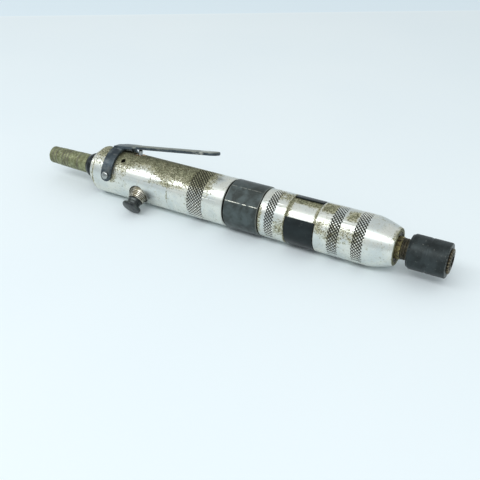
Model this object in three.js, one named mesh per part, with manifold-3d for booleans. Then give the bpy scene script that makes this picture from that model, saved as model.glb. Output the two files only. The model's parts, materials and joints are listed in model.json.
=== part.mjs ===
// An inline, reversible air screwdriver with a lever throttle, a planetary gear case, an adjustable
// ball clutch and a quick-change bit chuck.
//
// Millimetres. The tool is modelled round its own axis, +X towards the chuck, with station 0 at the
// rear edge of the gear case. Angles round the axis are measured from straight up (+Z) towards -Y.
// The whole tool is then moved so that the origin is the bottom centre of its bounding box.
import * as THREE from "three";
import { mergeVertices } from "three/addons/utils/BufferGeometryUtils.js";
import Module from "manifold-3d";

const wasm = await Module();
wasm.setup();

// ---- driving dimensions -----------------------------------------------------------------------
const GAP = 0.3; // between two pieces that meet
const HOUSING_SIDES = 32;
const INNER_SIDES = 16;
const SMALL_SIDES = 12;

// Stations along the axis.
const FITTING_REAR = -156.6;
const BUSHING_REAR = -121;
const EXHAUST_RING_REAR = -115;
const HANDLE_REAR = -108;
const PIVOT_STATION = -93.7;
const LOCK_HOLE_STATION = -84.9;
const THROTTLE_STATION = -79;
const REVERSE_STATION = -68.4;
const MOTOR_REAR = -57;
const HANDLE_FRONT = -1.2;
const GEAR_CASE_REAR = 0;
const GEAR_CASE_FRONT = 24.2;
const CLUTCH_HOUSING_REAR = 24.8;
const BAND_REAR = 43.4;
const BAND_FRONT = 62.8;
const NOSE_REAR = 63.2;
const NOSE_TAPER = 96.5;
const NOSE_FRONT = 112.5;
const RETAINER_FRONT = 112.2;
const CHUCK_REAR = 115.3;
const SLEEVE_REAR = 119.8;
const SLEEVE_FRONT = 143.2;
const CHUCK_FRONT = 144.8;

// Outer radii.
const HANDLE_R = 16.3;
const GEAR_CASE_R = 16.5;
const FRONT_R = 15.9;
const NOSE_TIP_R = 11.8;
const SLEEVE_R = 11;
const BORE_R = 13.6; // the bore that the motor and the screwed joints share

// Angles round the axis, in degrees.
const LEVER_ANGLE = -17;
const REVERSE_ANGLE = 120;
const LOCK_HOLE_ANGLE = 28;
const FLAT_ANGLE = 36.6;
const BAND_OPENING_FROM = -5;
const BAND_OPENING_TO = 56;

// Wrench flats on the gear case.
const FLAT_DISTANCE = 15.5;

// Throttle lever.
const LEVER_THICKNESS = 2.2;
const LEVER_SLOPE = 7.8;
const LEVER_TIP = -16.6;
const LEVER_WIDTH = 10;
const YOKE_LENGTH = 8.4;
const PIVOT_SCREW_R = 1.8;

// Planetary gears.
const TOOTH_MODULE = 0.5;
const SUN_TEETH = 12;
const PLANET_TEETH = 15;
const RING_TEETH = 42;
const PLANET_COUNT = 3;
const PLANET_ORBIT = (TOOTH_MODULE * (SUN_TEETH + PLANET_TEETH)) / 2;
const PLANET_REAR = 4;
const PLANET_FRONT = 12;

// Air motor.
const VANE_COUNT = 4;
const ROTOR_R = 8.95;
const CYLINDER_BORE_R = 10.5;
const CYLINDER_OFFSET = 1;

// Clutch and chuck.
const CLUTCH_BALLS = 3;
const CLUTCH_BALL_R = 2;
const CLUTCH_BALL_ORBIT = 8;
const CLUTCH_BALL_STATION = 41.2;
const SPINDLE_R = 4;
const HEX_SOCKET_FLATS = 6.6; // takes a 1/4 inch (6.35 mm) hex shank

const radians = THREE.MathUtils.degToRad;

// ---- solids -----------------------------------------------------------------------------------
// A three.js geometry as a manifold-3d solid, and back.
function solidOf(geometry) {
  const bare = geometry.clone();
  bare.deleteAttribute("normal");
  bare.deleteAttribute("uv");
  const merged = mergeVertices(bare, 1e-4);
  return new wasm.Manifold(
    new wasm.Mesh({
      numProp: 3,
      vertProperties: merged.attributes.position.array,
      triVerts: new Uint32Array(merged.index.array),
    }),
  );
}

function geometryOf(solid) {
  const mesh = solid.getMesh();
  const geometry = new THREE.BufferGeometry();
  geometry.setAttribute("position", new THREE.BufferAttribute(mesh.vertProperties, 3));
  geometry.setIndex(new THREE.BufferAttribute(mesh.triVerts, 1));
  return geometry;
}

function cut(geometry, cutters) {
  return geometryOf(cutters.reduce((solid, c) => solid.subtract(solidOf(c)), solidOf(geometry)));
}

function join(geometries) {
  return geometryOf(geometries.map(solidOf).reduce((a, b) => a.add(b)));
}

function revolved(outline, sides) {
  const points = outline.map(([height, radius]) => new THREE.Vector2(radius, height));
  return new THREE.LatheGeometry(points, sides, Math.PI / sides);
}

// A body turned about the tool's axis, from a list of [station, radius]. A hollow one runs forward
// along its outside and back along its inside, and is closed here.
function turned(outline, sides = INNER_SIDES) {
  const hollow = outline[0][1] > 0;
  return revolved(hollow ? [...outline, outline[0]] : outline, sides).rotateZ(-Math.PI / 2);
}

// The same about a local +Z axis, from a list of [height, radius].
function turnedUp(outline, sides = SMALL_SIDES) {
  const hollow = outline[0][1] > 0;
  return revolved(hollow ? [...outline, outline[0]] : outline, sides).rotateX(Math.PI / 2);
}

function tube(from, to, outer, inner, sides = INNER_SIDES) {
  return turned([[from, outer], [to, outer], [to, inner], [from, inner]], sides);
}

function rod(from, to, radius, sides = INNER_SIDES) {
  return turned([[from, 0], [from, radius], [to, radius], [to, 0]], sides);
}

function rodUp(from, to, radius, sides = SMALL_SIDES) {
  return turnedUp([[from, 0], [from, radius], [to, radius], [to, 0]], sides);
}

// A shape drawn with x up and y towards -Y, extruded along the tool's axis.
function extruded(shape, from, to) {
  const options = { depth: to - from, bevelEnabled: false, curveSegments: 6 };
  return new THREE.ExtrudeGeometry(shape, options)
    .rotateY(Math.PI / 2)
    .rotateX(Math.PI)
    .translate(from, 0, 0);
}

// Turns and shifts a geometry made round a local +Z axis to a station and an angle on the tool.
function radial(geometry, station, angle) {
  return geometry.rotateX(radians(angle)).translate(station, 0, 0);
}

function polygon(sides, cornerRadius) {
  const corners = Array.from({ length: sides }, (_, i) => {
    const angle = (2 * Math.PI * (i + 0.5)) / sides;
    return new THREE.Vector2(cornerRadius * Math.cos(angle), cornerRadius * Math.sin(angle));
  });
  return new THREE.Shape(corners);
}

function hexagon(acrossFlats) {
  return polygon(6, acrossFlats / 2 / Math.cos(Math.PI / 6));
}

class Helix extends THREE.Curve {
  constructor(radius, from, to, turns) {
    super();
    Object.assign(this, { radius, from, to, turns });
  }
  getPoint(t, target = new THREE.Vector3()) {
    const angle = 2 * Math.PI * this.turns * t;
    const height = this.from + (this.to - this.from) * t;
    return target.set(this.radius * Math.cos(angle), this.radius * Math.sin(angle), height);
  }
}

// A coil spring round local +Z; `from` and `to` are its two ends.
function coil(from, to, meanRadius, wire, turns) {
  const path = new Helix(meanRadius, from + wire / 2, to - wire / 2, turns);
  const options = { steps: turns * 8, extrudePath: path };
  return new THREE.ExtrudeGeometry(polygon(4, wire / 2), options);
}

// ---- gears ------------------------------------------------------------------------------------
// One gear's outline, with a tooth at angle 0: each tooth is four points, and takes its share of the
// pitch. The outline of the ring gear's hollow is made the same way, its teeth being the ring's gaps.
function gearShape(teeth, addendum, dedendum, share) {
  const pitchRadius = (TOOTH_MODULE * teeth) / 2;
  const pitch = (2 * Math.PI) / teeth;
  const half = (pitch * share) / 2;
  const flank = 0.36 / pitchRadius; // how far the flank leans over the tooth's height
  const points = [];
  for (let tooth = 0; tooth < teeth; tooth += 1) {
    const middle = tooth * pitch;
    for (const [radius, angle] of [
      [pitchRadius - dedendum, -half - flank / 2],
      [pitchRadius + addendum, -half + flank / 2],
      [pitchRadius + addendum, half - flank / 2],
      [pitchRadius - dedendum, half + flank / 2],
    ]) {
      const turn = middle + angle;
      points.push(new THREE.Vector2(radius * Math.cos(turn), radius * Math.sin(turn)));
    }
  }
  return new THREE.Shape(points);
}

const EXTERNAL_ADDENDUM = 0.85 * TOOTH_MODULE;
const EXTERNAL_DEDENDUM = 1.25 * TOOTH_MODULE;
const TOOTH_SHARE = 0.36; // a tooth's share of the pitch, under half to leave backlash

// ---- the tool ---------------------------------------------------------------------------------
const tool = new THREE.Group();
const finishes = {
  satinPlate: { color: 0xc8d0cd, roughness: 0.35, metalness: 0.9 },
  darkSteel: { color: 0x464e52, roughness: 0.5, metalness: 0.8 },
  leverSteel: { color: 0x465058, roughness: 0.5, metalness: 0.8 },
  blackSteel: { color: 0x2d3234, roughness: 0.5, metalness: 0.7 },
  oldBrass: { color: 0x8c9164, roughness: 0.6, metalness: 0.7 },
  wornNickel: { color: 0x969182, roughness: 0.4, metalness: 0.9 },
  brightSteel: { color: 0xb4b9bc, roughness: 0.25, metalness: 1 },
  bronze: { color: 0x9a7b4a, roughness: 0.4, metalness: 0.9 },
  phenolic: { color: 0x6b4a2e, roughness: 0.7, metalness: 0 },
  rubber: { color: 0x1b1c1d, roughness: 0.9, metalness: 0 },
};

function add(parent, name, geometry, finish) {
  const mesh = new THREE.Mesh(geometry, new THREE.MeshStandardMaterial(finishes[finish]));
  mesh.name = name;
  parent.add(mesh);
  return mesh;
}

// A group turned so that its +Z points out from the axis at a station and an angle.
function outward(station, angle) {
  const group = new THREE.Group();
  group.position.x = station;
  group.rotation.x = radians(angle);
  tool.add(group);
  return group;
}

// -- air inlet ----------------------------------------------------------------------------------
const FITTING_TIP_R = 6.2;
const FITTING_ROOT_R = 7.1;
const FITTING_BORE_R = 3.4;

function addInlet() {
  // A worn hose fitting: a slow taper with shallow ridges near its tip and at its middle.
  const taper = (station) =>
    THREE.MathUtils.mapLinear(station, FITTING_REAR, BUSHING_REAR, FITTING_TIP_R, FITTING_ROOT_R);
  const outline = [[FITTING_REAR, FITTING_TIP_R - 0.5], [FITTING_REAR + 0.6, FITTING_TIP_R]];
  for (const ridge of [FITTING_REAR + 4, FITTING_REAR + 12, FITTING_REAR + 15]) {
    outline.push([ridge, taper(ridge)], [ridge + 0.5, taper(ridge) - 0.45]);
    outline.push([ridge + 1.3, taper(ridge) - 0.45], [ridge + 1.8, taper(ridge)]);
  }
  const shankR = FITTING_ROOT_R - 0.3;
  const shankFront = BUSHING_REAR + 13;
  outline.push([BUSHING_REAR - GAP, FITTING_ROOT_R], [BUSHING_REAR - GAP, shankR]);
  outline.push([shankFront, shankR], [shankFront, FITTING_BORE_R], [FITTING_REAR, FITTING_BORE_R]);
  add(tool, "inlet_fitting", turned(outline), "oldBrass");

  // The bushing flares behind the ring and screws into the handle.
  const collarR = 9;
  const threadR = 8.3;
  const bushingFront = HANDLE_REAR + 10.7;
  const socketR = shankR + GAP;
  const airR = 4.4;
  add(
    tool,
    "inlet_bushing",
    turned([
      [BUSHING_REAR, FITTING_ROOT_R + 0.4],
      [BUSHING_REAR + 3, collarR],
      [EXHAUST_RING_REAR - 1.3, collarR],
      [EXHAUST_RING_REAR - 1.3, threadR],
      [bushingFront, threadR],
      [bushingFront, airR],
      [shankFront + GAP, airR],
      [shankFront + GAP, socketR],
      [BUSHING_REAR, socketR],
    ]),
    "blackSteel",
  );

  // The exhaust leaves between the bushing and this ring.
  add(
    tool,
    "exhaust_ring",
    turned(
      [
        [EXHAUST_RING_REAR, 11.9],
        [EXHAUST_RING_REAR + 0.6, 12.5],
        [HANDLE_REAR + 2.2, 12.5],
        [HANDLE_REAR + 2.2, 11.9],
        [EXHAUST_RING_REAR + 2, 11.9],
        [EXHAUST_RING_REAR + 2, 9.4],
        [EXHAUST_RING_REAR, 9.4],
      ],
      HOUSING_SIDES,
    ),
    "satinPlate",
  );

  const screenRear = shankFront + 0.9;
  const screenFront = bushingFront - 0.5;
  add(
    tool,
    "inlet_screen",
    turned(
      [
        [screenFront - 0.5, 0],
        [screenFront - 0.5, 1.4],
        [screenFront - 1.8, 2.6],
        [screenRear, 3.7],
        [screenRear, 4.1],
        [screenFront - 1.5, 3],
        [screenFront, 1.6],
        [screenFront, 0],
      ],
      SMALL_SIDES,
    ),
    "brightSteel",
  );
}

// -- handle -------------------------------------------------------------------------------------
const EXHAUST_ANGLES = [40, 180, 215, 275];
const THROTTLE_BORE_R = 4.5;
const REVERSE_BORE_R = 5.6;
const REVERSE_SHIFT = 3.1; // how far the reversing valve's axis passes above the tool's
const BOSS_R = 6.8;
const BOSS_FLOOR = 12.4;

function reverseHole(from, to, radius) {
  const hole = rodUp(from, to, radius).translate(0, REVERSE_SHIFT, 0);
  return radial(hole, REVERSE_STATION, REVERSE_ANGLE);
}

function addHandle() {
  const shell = turned(
    [
      [HANDLE_REAR, HANDLE_R - 0.5],
      [HANDLE_REAR + 0.6, HANDLE_R],
      [HANDLE_FRONT - 0.6, HANDLE_R],
      [HANDLE_FRONT, HANDLE_R - 0.6],
      [HANDLE_FRONT, BORE_R],
      [MOTOR_REAR, BORE_R],
      [MOTOR_REAR, 3],
      [THROTTLE_STATION, 3],
      [THROTTLE_STATION, 4.2],
      [HANDLE_REAR + 11, 4.2],
      [HANDLE_REAR + 11, 8.6],
      [HANDLE_REAR + 2.5, 8.6],
      [HANDLE_REAR + 2.5, 12.9],
      [HANDLE_REAR, 12.9],
    ],
    HOUSING_SIDES,
  );
  const outside = HANDLE_R + 2;
  const cutters = [
    radial(rodUp(-8.5, outside, THROTTLE_BORE_R), THROTTLE_STATION, LEVER_ANGLE),
    reverseHole(-9.2, outside, REVERSE_BORE_R),
    reverseHole(BOSS_FLOOR, outside, BOSS_R + GAP),
    radial(rodUp(12.4, outside, 1.75), LOCK_HOLE_STATION, LOCK_HOLE_ANGLE),
  ];
  for (const side of [90, -90]) {
    const screwHole = rodUp(9.8, outside, PIVOT_SCREW_R + GAP);
    cutters.push(radial(screwHole, PIVOT_STATION, LEVER_ANGLE + side));
  }
  for (const angle of EXHAUST_ANGLES) {
    const passage = rod(HANDLE_REAR - 1, MOTOR_REAR + 1, 1.1, 8).translate(0, 0, 10.6);
    cutters.push(passage.rotateX(radians(angle)));
  }
  add(tool, "handle_housing", cut(shell, cutters), "satinPlate");
}

// -- throttle -----------------------------------------------------------------------------------
function leverGeometry() {
  // The yoke: an arched strap over the handle, with a lobe round each pivot screw.
  const lobe = 13;
  const arc = (across, up, from, to) =>
    Array.from({ length: 15 }, (_, i) => {
      const angle = radians(from + ((to - from) * i) / 14);
      return new THREE.Vector2(up * Math.cos(angle), across * Math.sin(angle));
    });
  const outer = arc(18.8, 19.8, -90 - lobe, 90 + lobe);
  const inner = arc(16.8, 17.6, 90 + lobe, -90 - lobe);
  const yokeRear = PIVOT_STATION - YOKE_LENGTH / 2;
  const yoke = extruded(new THREE.Shape([...outer, ...inner]), yokeRear, yokeRear + YOKE_LENGTH);

  // The thumb strip, seen from above: wide at the yoke, then parallel, with a round tip.
  const slope = radians(LEVER_SLOPE);
  const length = (LEVER_TIP - yokeRear) / Math.cos(slope);
  const half = LEVER_WIDTH / 2;
  const plan = new THREE.Shape()
    .moveTo(1.5, -8)
    .lineTo(YOKE_LENGTH + 1, -8)
    .lineTo(YOKE_LENGTH + 11, -half)
    .lineTo(length - half, -half)
    .absarc(length - half, 0, half, -Math.PI / 2, Math.PI / 2)
    .lineTo(YOKE_LENGTH + 11, half)
    .lineTo(YOKE_LENGTH + 1, 8)
    .lineTo(1.5, 8);
  const strip = new THREE.ExtrudeGeometry(plan, {
    depth: LEVER_THICKNESS,
    bevelEnabled: false,
    curveSegments: 8,
  });
  strip.rotateY(-slope).translate(yokeRear, 0, 17.35);

  // A flange down each side of the strip stiffens it as far as the valve.
  const flanges = [6.3, -7.7].map((side) => {
    const web = new THREE.Shape()
      .moveTo(3, 18)
      .lineTo(YOKE_LENGTH - 1, 16.9)
      .lineTo(YOKE_LENGTH + 3, 17.2)
      .lineTo(YOKE_LENGTH + 12, 19.6)
      .lineTo(3, 19);
    const plate = new THREE.ExtrudeGeometry(web, { depth: 1.4, bevelEnabled: false });
    return plate.rotateX(Math.PI / 2).translate(yokeRear, side + 1.4, 0);
  });
  const screwHoles = rodUp(-20, 20, PIVOT_SCREW_R + 0.35).rotateX(Math.PI / 2);
  const body = join([yoke, strip, ...flanges]);
  return cut(body, [screwHoles.translate(PIVOT_STATION, 0, 0)]);
}

function addThrottle() {
  const lever = outward(0, LEVER_ANGLE);
  add(lever, "throttle_lever", leverGeometry(), "leverSteel");

  const screw = [
    [10.2, 0],
    [10.2, PIVOT_SCREW_R],
    [19.15, PIVOT_SCREW_R],
    [19.15, 2.6],
    [19.9, 2.4],
    [20.4, 1.5],
    [20.6, 0],
  ];
  for (const [name, side] of [["near", 90], ["far", -90]]) {
    const pivot = outward(PIVOT_STATION, LEVER_ANGLE + side);
    add(pivot, "lever_pivot_screw_" + name, turnedUp(screw), "brightSteel");
  }

  const valve = outward(THROTTLE_STATION, LEVER_ANGLE);
  const stemTop = 19.6;
  const stem = [
    [-0.2, 0],
    [-0.2, 1.8],
    [1.8, 1.8],
    [1.8, 3.4],
    [4.4, 3.4],
    [5, 2.8],
    [5, 1.5],
    [stemTop - 0.8, 1.5],
    [stemTop - 0.2, 0.9],
    [stemTop, 0],
  ];
  add(valve, "throttle_valve_stem", turnedUp(stem), "brightSteel");
  const bushing = [[5.5, 4.2], [15.9, 4.2], [15.9, 1.8], [8, 1.8], [8, 2.4], [5.5, 2.4]];
  add(valve, "throttle_valve_bushing", turnedUp(bushing), "bronze");
  add(valve, "throttle_valve_spring", coil(-8.2, 1.5, 2.6, 0.7, 5), "brightSteel");
}

// -- reversing valve ----------------------------------------------------------------------------
function addReverse() {
  const valve = new THREE.Group();
  valve.position.y = REVERSE_SHIFT;
  outward(REVERSE_STATION, REVERSE_ANGLE).add(valve);
  const floor = -8.8;
  const mouth = 19.8;
  const mouthR = 5.6;
  const skirtFloor = 16.5;
  const boreR = 4.2;
  // Outside the handle the bushing is a tapered, ridged boss, counterbored for the button's skirt.
  const bossRear = BOSS_FLOOR + GAP;
  const taperFrom = 14.2;
  const bossR = (height) => THREE.MathUtils.mapLinear(height, taperFrom, mouth, BOSS_R, mouthR);
  const boss = [[bossRear, 5.3], [bossRear, BOSS_R], [taperFrom, BOSS_R]];
  for (const ridge of [15.5, 16.9, 18.3]) {
    boss.push([ridge, bossR(ridge)], [ridge + 0.4, bossR(ridge) - 0.35]);
    boss.push([ridge + 0.7, bossR(ridge + 0.7)]);
  }
  const shell = turnedUp([
    [floor, 0],
    [floor, 5.3],
    ...boss,
    [mouth, mouthR],
    [mouth, 5.2],
    [skirtFloor, 5.2],
    [skirtFloor, boreR],
    [floor + 1.1, boreR],
    [floor + 1.1, 0],
  ]);
  const port = rodUp(-8, 8, 1.8, 8).rotateY(Math.PI / 2);
  add(valve, "reverse_bushing", cut(shell, [port]), "wornNickel");

  const sealRear = 11.2;
  const skirtR = 4.95;
  const headR = 6.75;
  const spoolR = boreR - GAP;
  const button = [
    [2.5, 0],
    [2.5, spoolR],
    [5.5, spoolR],
    [6, 2.4],
    [9.5, 2.4],
    [10, spoolR],
    [sealRear, spoolR],
    [sealRear, 2.9],
    [sealRear + 1.6, 2.9],
    [sealRear + 1.6, spoolR],
    [20.1, spoolR],
    [20.1, skirtR],
    [20.8, skirtR],
    [24.3, 4.2],
    [24.7, headR - 0.5],
    [25.1, headR],
    [26.1, headR],
    [26.7, headR - 0.6],
    [26.9, 0],
  ];
  add(valve, "reverse_button", turnedUp(button), "blackSteel");
  add(
    valve,
    "reverse_button_seal",
    turnedUp([
      [sealRear + 0.3, 3.2],
      [sealRear + 0.3, 3.8],
      [sealRear + 0.8, 4],
      [sealRear + 1.3, 3.8],
      [sealRear + 1.3, 3.2],
    ]),
    "rubber",
  );
  add(valve, "reverse_spring", coil(floor + 1.4, 2.2, 3, 0.8, 5), "brightSteel");
}

// -- air motor ----------------------------------------------------------------------------------
const END_PLATE_R = 13.3;
const SHAFT_R = 2.5;
const BEARING_R = 6.2;
const REAR_PLATE = [MOTOR_REAR + GAP, -51.5];
const FRONT_PLATE = [-14.5, -9];

function motorBearing(from, to) {
  return tube(from, to, BEARING_R, SHAFT_R + 0.25);
}

function addMotor() {
  const pocketR = BEARING_R + GAP;
  const [rear, rearFace] = REAR_PLATE;
  const [frontFace, front] = FRONT_PLATE;
  const shaftHole = SHAFT_R + 0.7;
  const plateWall = 1.3;
  add(
    tool,
    "motor_rear_plate",
    turned([
      [rear, END_PLATE_R],
      [rearFace, END_PLATE_R],
      [rearFace, shaftHole],
      [rearFace - plateWall, shaftHole],
      [rearFace - plateWall, pocketR],
      [rear, pocketR],
    ]),
    "darkSteel",
  );
  add(tool, "rotor_rear_bearing", motorBearing(rear + 0.2, rearFace - plateWall - GAP), "brightSteel");
  add(
    tool,
    "motor_front_plate",
    turned([
      [frontFace, END_PLATE_R],
      [front, END_PLATE_R],
      [front, pocketR],
      [frontFace + plateWall, pocketR],
      [frontFace + plateWall, shaftHole],
      [frontFace, shaftHole],
    ]),
    "darkSteel",
  );
  add(tool, "rotor_front_bearing", motorBearing(frontFace + plateWall + GAP, front - 0.2), "brightSteel");

  const cylinderRear = rearFace + GAP;
  const cylinderFront = frontFace - GAP;
  const bore = rod(cylinderRear - 1, cylinderFront + 1, CYLINDER_BORE_R).translate(0, 0, CYLINDER_OFFSET);
  const ports = [-1, 0, 1].map((n) => {
    const middle = (cylinderRear + cylinderFront) / 2 + n * 9;
    return radial(rodUp(8, 15, 2.2, 8), middle, 90);
  });
  const cylinder = cut(rod(cylinderRear, cylinderFront, END_PLATE_R), [bore, ...ports]);
  add(tool, "motor_cylinder", cylinder, "darkSteel");

  // The rotor carries the sun pinion on the front end of its shaft.
  const rotorRear = cylinderRear + GAP;
  const rotorFront = cylinderFront - GAP;
  const pinionRear = PLANET_REAR - 0.5;
  const pinionFront = PLANET_FRONT + 0.5;
  const core = turned([
    [rear + 0.2, 0],
    [rear + 0.2, SHAFT_R],
    [rotorRear, SHAFT_R],
    [rotorRear, ROTOR_R],
    [rotorFront, ROTOR_R],
    [rotorFront, SHAFT_R],
    [front + 1, SHAFT_R],
    [front + 1, 2],
    [pinionRear + 0.5, 2],
    [pinionRear + 0.5, 0],
  ]);
  const sun = gearShape(SUN_TEETH, EXTERNAL_ADDENDUM, EXTERNAL_DEDENDUM, TOOTH_SHARE);
  const slotFloor = 4.4;
  const slots = [];
  for (let vane = 0; vane < VANE_COUNT; vane += 1) {
    const slot = new THREE.BoxGeometry(rotorFront - rotorRear + 2, 2.1, 6);
    slot.translate((rotorRear + rotorFront) / 2, 0, slotFloor + 3);
    slots.push(slot.rotateX(radians((360 * vane) / VANE_COUNT)));
  }
  const rotor = join([cut(core, slots), extruded(sun, pinionRear, pinionFront)]);
  add(tool, "rotor", rotor, "brightSteel");

  for (let vane = 0; vane < VANE_COUNT; vane += 1) {
    const blade = new THREE.BoxGeometry(rotorFront - rotorRear - 0.4, 1.5, 4.2);
    blade.translate((rotorRear + rotorFront) / 2, 0, ROTOR_R - 2.15);
    const turnedBlade = blade.rotateX(radians((360 * vane) / VANE_COUNT));
    add(tool, "vane_" + (vane + 1), turnedBlade, "phenolic");
  }
}

// -- planetary gears ----------------------------------------------------------------------------
const SPIGOT_R = 13.3;
const GEAR_CASE_BORE_R = 11.4;
const CARRIER_SHAFT_R = 5;
const PLANET_PIN_R = 1.25;
const PLANET_BORE_R = 1.6;

function addGears() {
  const chamfer = 0.5;
  const outside = turned(
    [
      [GEAR_CASE_REAR - 8.5, 0],
      [GEAR_CASE_REAR - 8.5, SPIGOT_R],
      [GEAR_CASE_REAR, SPIGOT_R],
      [GEAR_CASE_REAR, GEAR_CASE_R - chamfer],
      [GEAR_CASE_REAR + chamfer, GEAR_CASE_R],
      [GEAR_CASE_FRONT - chamfer, GEAR_CASE_R],
      [GEAR_CASE_FRONT, GEAR_CASE_R - chamfer],
      [GEAR_CASE_FRONT, SPIGOT_R],
      [GEAR_CASE_FRONT + 6.5, SPIGOT_R],
      [GEAR_CASE_FRONT + 6.5, 0],
    ],
    HOUSING_SIDES,
  );
  const ringGear = gearShape(RING_TEETH, EXTERNAL_DEDENDUM, EXTERNAL_ADDENDUM, 1 - TOOTH_SHARE);
  const gearRear = 2;
  const gearFront = PLANET_FRONT + 0.4;
  const cutters = [
    extruded(ringGear, gearRear - 0.5, gearFront + 0.1),
    rod(GEAR_CASE_REAR - 10, gearRear, GEAR_CASE_BORE_R),
    rod(gearFront, GEAR_CASE_FRONT + 10, GEAR_CASE_BORE_R),
  ];
  for (const angle of [FLAT_ANGLE, FLAT_ANGLE + 180]) {
    const block = new THREE.BoxGeometry(40, 40, 10).translate(0, 0, FLAT_DISTANCE + 5);
    cutters.push(radial(block, 12, angle));
  }
  add(tool, "gear_case", cut(outside, cutters), "darkSteel");

  const planet = gearShape(PLANET_TEETH, EXTERNAL_ADDENDUM, EXTERNAL_DEDENDUM, TOOTH_SHARE);
  const pinFront = 17.6;
  const carrierRear = PLANET_FRONT + 0.8;
  const pinHoles = [];
  for (let i = 0; i < PLANET_COUNT; i += 1) {
    const orbit = new THREE.Group();
    orbit.rotation.x = (2 * Math.PI * i) / PLANET_COUNT;
    tool.add(orbit);
    const gear = cut(extruded(planet, PLANET_REAR, PLANET_FRONT), [
      rod(PLANET_REAR - 1, PLANET_FRONT + 1, PLANET_BORE_R, SMALL_SIDES),
    ]);
    add(orbit, "planet_gear_" + (i + 1), gear.translate(0, 0, PLANET_ORBIT), "brightSteel");
    const pin = rod(PLANET_REAR + 0.2, pinFront, PLANET_PIN_R, SMALL_SIDES);
    add(orbit, "planet_pin_" + (i + 1), pin.translate(0, 0, PLANET_ORBIT), "brightSteel");
    const hole = rod(carrierRear - 1, 19, PLANET_PIN_R + 0.2, SMALL_SIDES);
    pinHoles.push(hole.translate(0, 0, PLANET_ORBIT).rotateX(orbit.rotation.x));
  }

  const carrier = turned([
    [carrierRear, 0],
    [carrierRear, 10.4],
    [18.4, 10.4],
    [18.4, 6.4],
    [22, 6.4],
    [22, CARRIER_SHAFT_R],
    [35.2, CARRIER_SHAFT_R],
    [35.2, 0],
  ]);
  add(tool, "planet_carrier", cut(carrier, pinHoles), "darkSteel");
  const bearing = tube(22.6, 29.6, GEAR_CASE_BORE_R - GAP, CARRIER_SHAFT_R + 0.25);
  add(tool, "carrier_bearing", bearing, "brightSteel");
}

// -- clutch -------------------------------------------------------------------------------------
const CLUTCH_BORE_R = 12.6;
const GROOVE_R = 14.7;
const CLUTCH_PLATE_R = 10.6;
const NOSE_SPIGOT_R = 13.2;

function addClutch() {
  const spigotFront = NOSE_REAR + 7.8;
  const shell = turned(
    [
      [CLUTCH_HOUSING_REAR, FRONT_R - 0.4],
      [CLUTCH_HOUSING_REAR + 0.5, FRONT_R],
      [BAND_REAR - 0.5, FRONT_R],
      [BAND_REAR - GAP, FRONT_R - 0.2],
      [BAND_REAR - GAP, GROOVE_R],
      [NOSE_REAR - GAP, GROOVE_R],
      [NOSE_REAR - GAP, NOSE_SPIGOT_R],
      [spigotFront, NOSE_SPIGOT_R],
      [spigotFront, 11.4],
      [CLUTCH_HOUSING_REAR + 7, 11.4],
      [CLUTCH_HOUSING_REAR + 7, BORE_R],
      [CLUTCH_HOUSING_REAR, BORE_R],
    ],
    HOUSING_SIDES,
  );
  // The window through which a key turns the adjusting nut; the band covers it.
  const window = radial(new THREE.BoxGeometry(9, 7, 8).translate(0, 0, 14), 57, 205);
  add(tool, "clutch_housing", cut(shell, [window]), "satinPlate");

  const bandShell = tube(BAND_REAR, BAND_FRONT, FRONT_R, GROOVE_R + GAP, HOUSING_SIDES);
  const opening = new THREE.Shape().moveTo(0, 0);
  for (let step = 0; step <= 4; step += 1) {
    const share = step / 4;
    const angle = radians(THREE.MathUtils.lerp(BAND_OPENING_FROM, BAND_OPENING_TO, share));
    opening.lineTo(20 * Math.cos(angle), 20 * Math.sin(angle));
  }
  const band = cut(bandShell, [extruded(opening, BAND_REAR - 1, BAND_FRONT + 1)]);
  add(tool, "clutch_cover_band", band, "blackSteel");

  // Balls sit in facing dimples of the driving plate and the spring-loaded driven plate.
  const driver = turned([
    [30.6, 8],
    [36.2, 8],
    [36.2, CLUTCH_PLATE_R],
    [40.6, CLUTCH_PLATE_R],
    [40.6, SPINDLE_R + GAP],
    [35.6, SPINDLE_R + GAP],
    [35.6, CARRIER_SHAFT_R + 0.25],
    [30.6, CARRIER_SHAFT_R + 0.25],
  ]);
  const driven = tube(41.8, 46.6, CLUTCH_PLATE_R, SPINDLE_R + GAP);
  const dimples = [];
  for (let i = 0; i < CLUTCH_BALLS; i += 1) {
    const turn = (2 * Math.PI * i) / CLUTCH_BALLS;
    const sphere = (radius) =>
      new THREE.SphereGeometry(radius, 8, 6)
        .translate(CLUTCH_BALL_STATION, 0, CLUTCH_BALL_ORBIT)
        .rotateX(turn);
    add(tool, "clutch_ball_" + (i + 1), sphere(CLUTCH_BALL_R), "brightSteel");
    dimples.push(sphere(CLUTCH_BALL_R + 0.25));
  }
  add(tool, "clutch_driving_plate", cut(driver, dimples), "darkSteel");
  add(tool, "clutch_driven_plate", cut(driven, dimples), "darkSteel");

  const springMean = 7.5;
  const spring = coil(47, 58.2, springMean, 2, 4).rotateY(Math.PI / 2);
  add(tool, "clutch_spring", spring, "brightSteel");
  const nut = cut(tube(58.6, 62.4, CLUTCH_PLATE_R, SPINDLE_R + GAP), [
    radial(rodUp(9, 12, 1.5, 8), 60.5, 205),
    radial(rodUp(9, 12, 1.5, 8), 60.5, 25),
  ]);
  add(tool, "clutch_adjusting_nut", nut, "bronze");
}

// -- nose and spindle ---------------------------------------------------------------------------
const NECK_FLATS = 12;
const RETAINER_R = 9.1;

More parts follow.
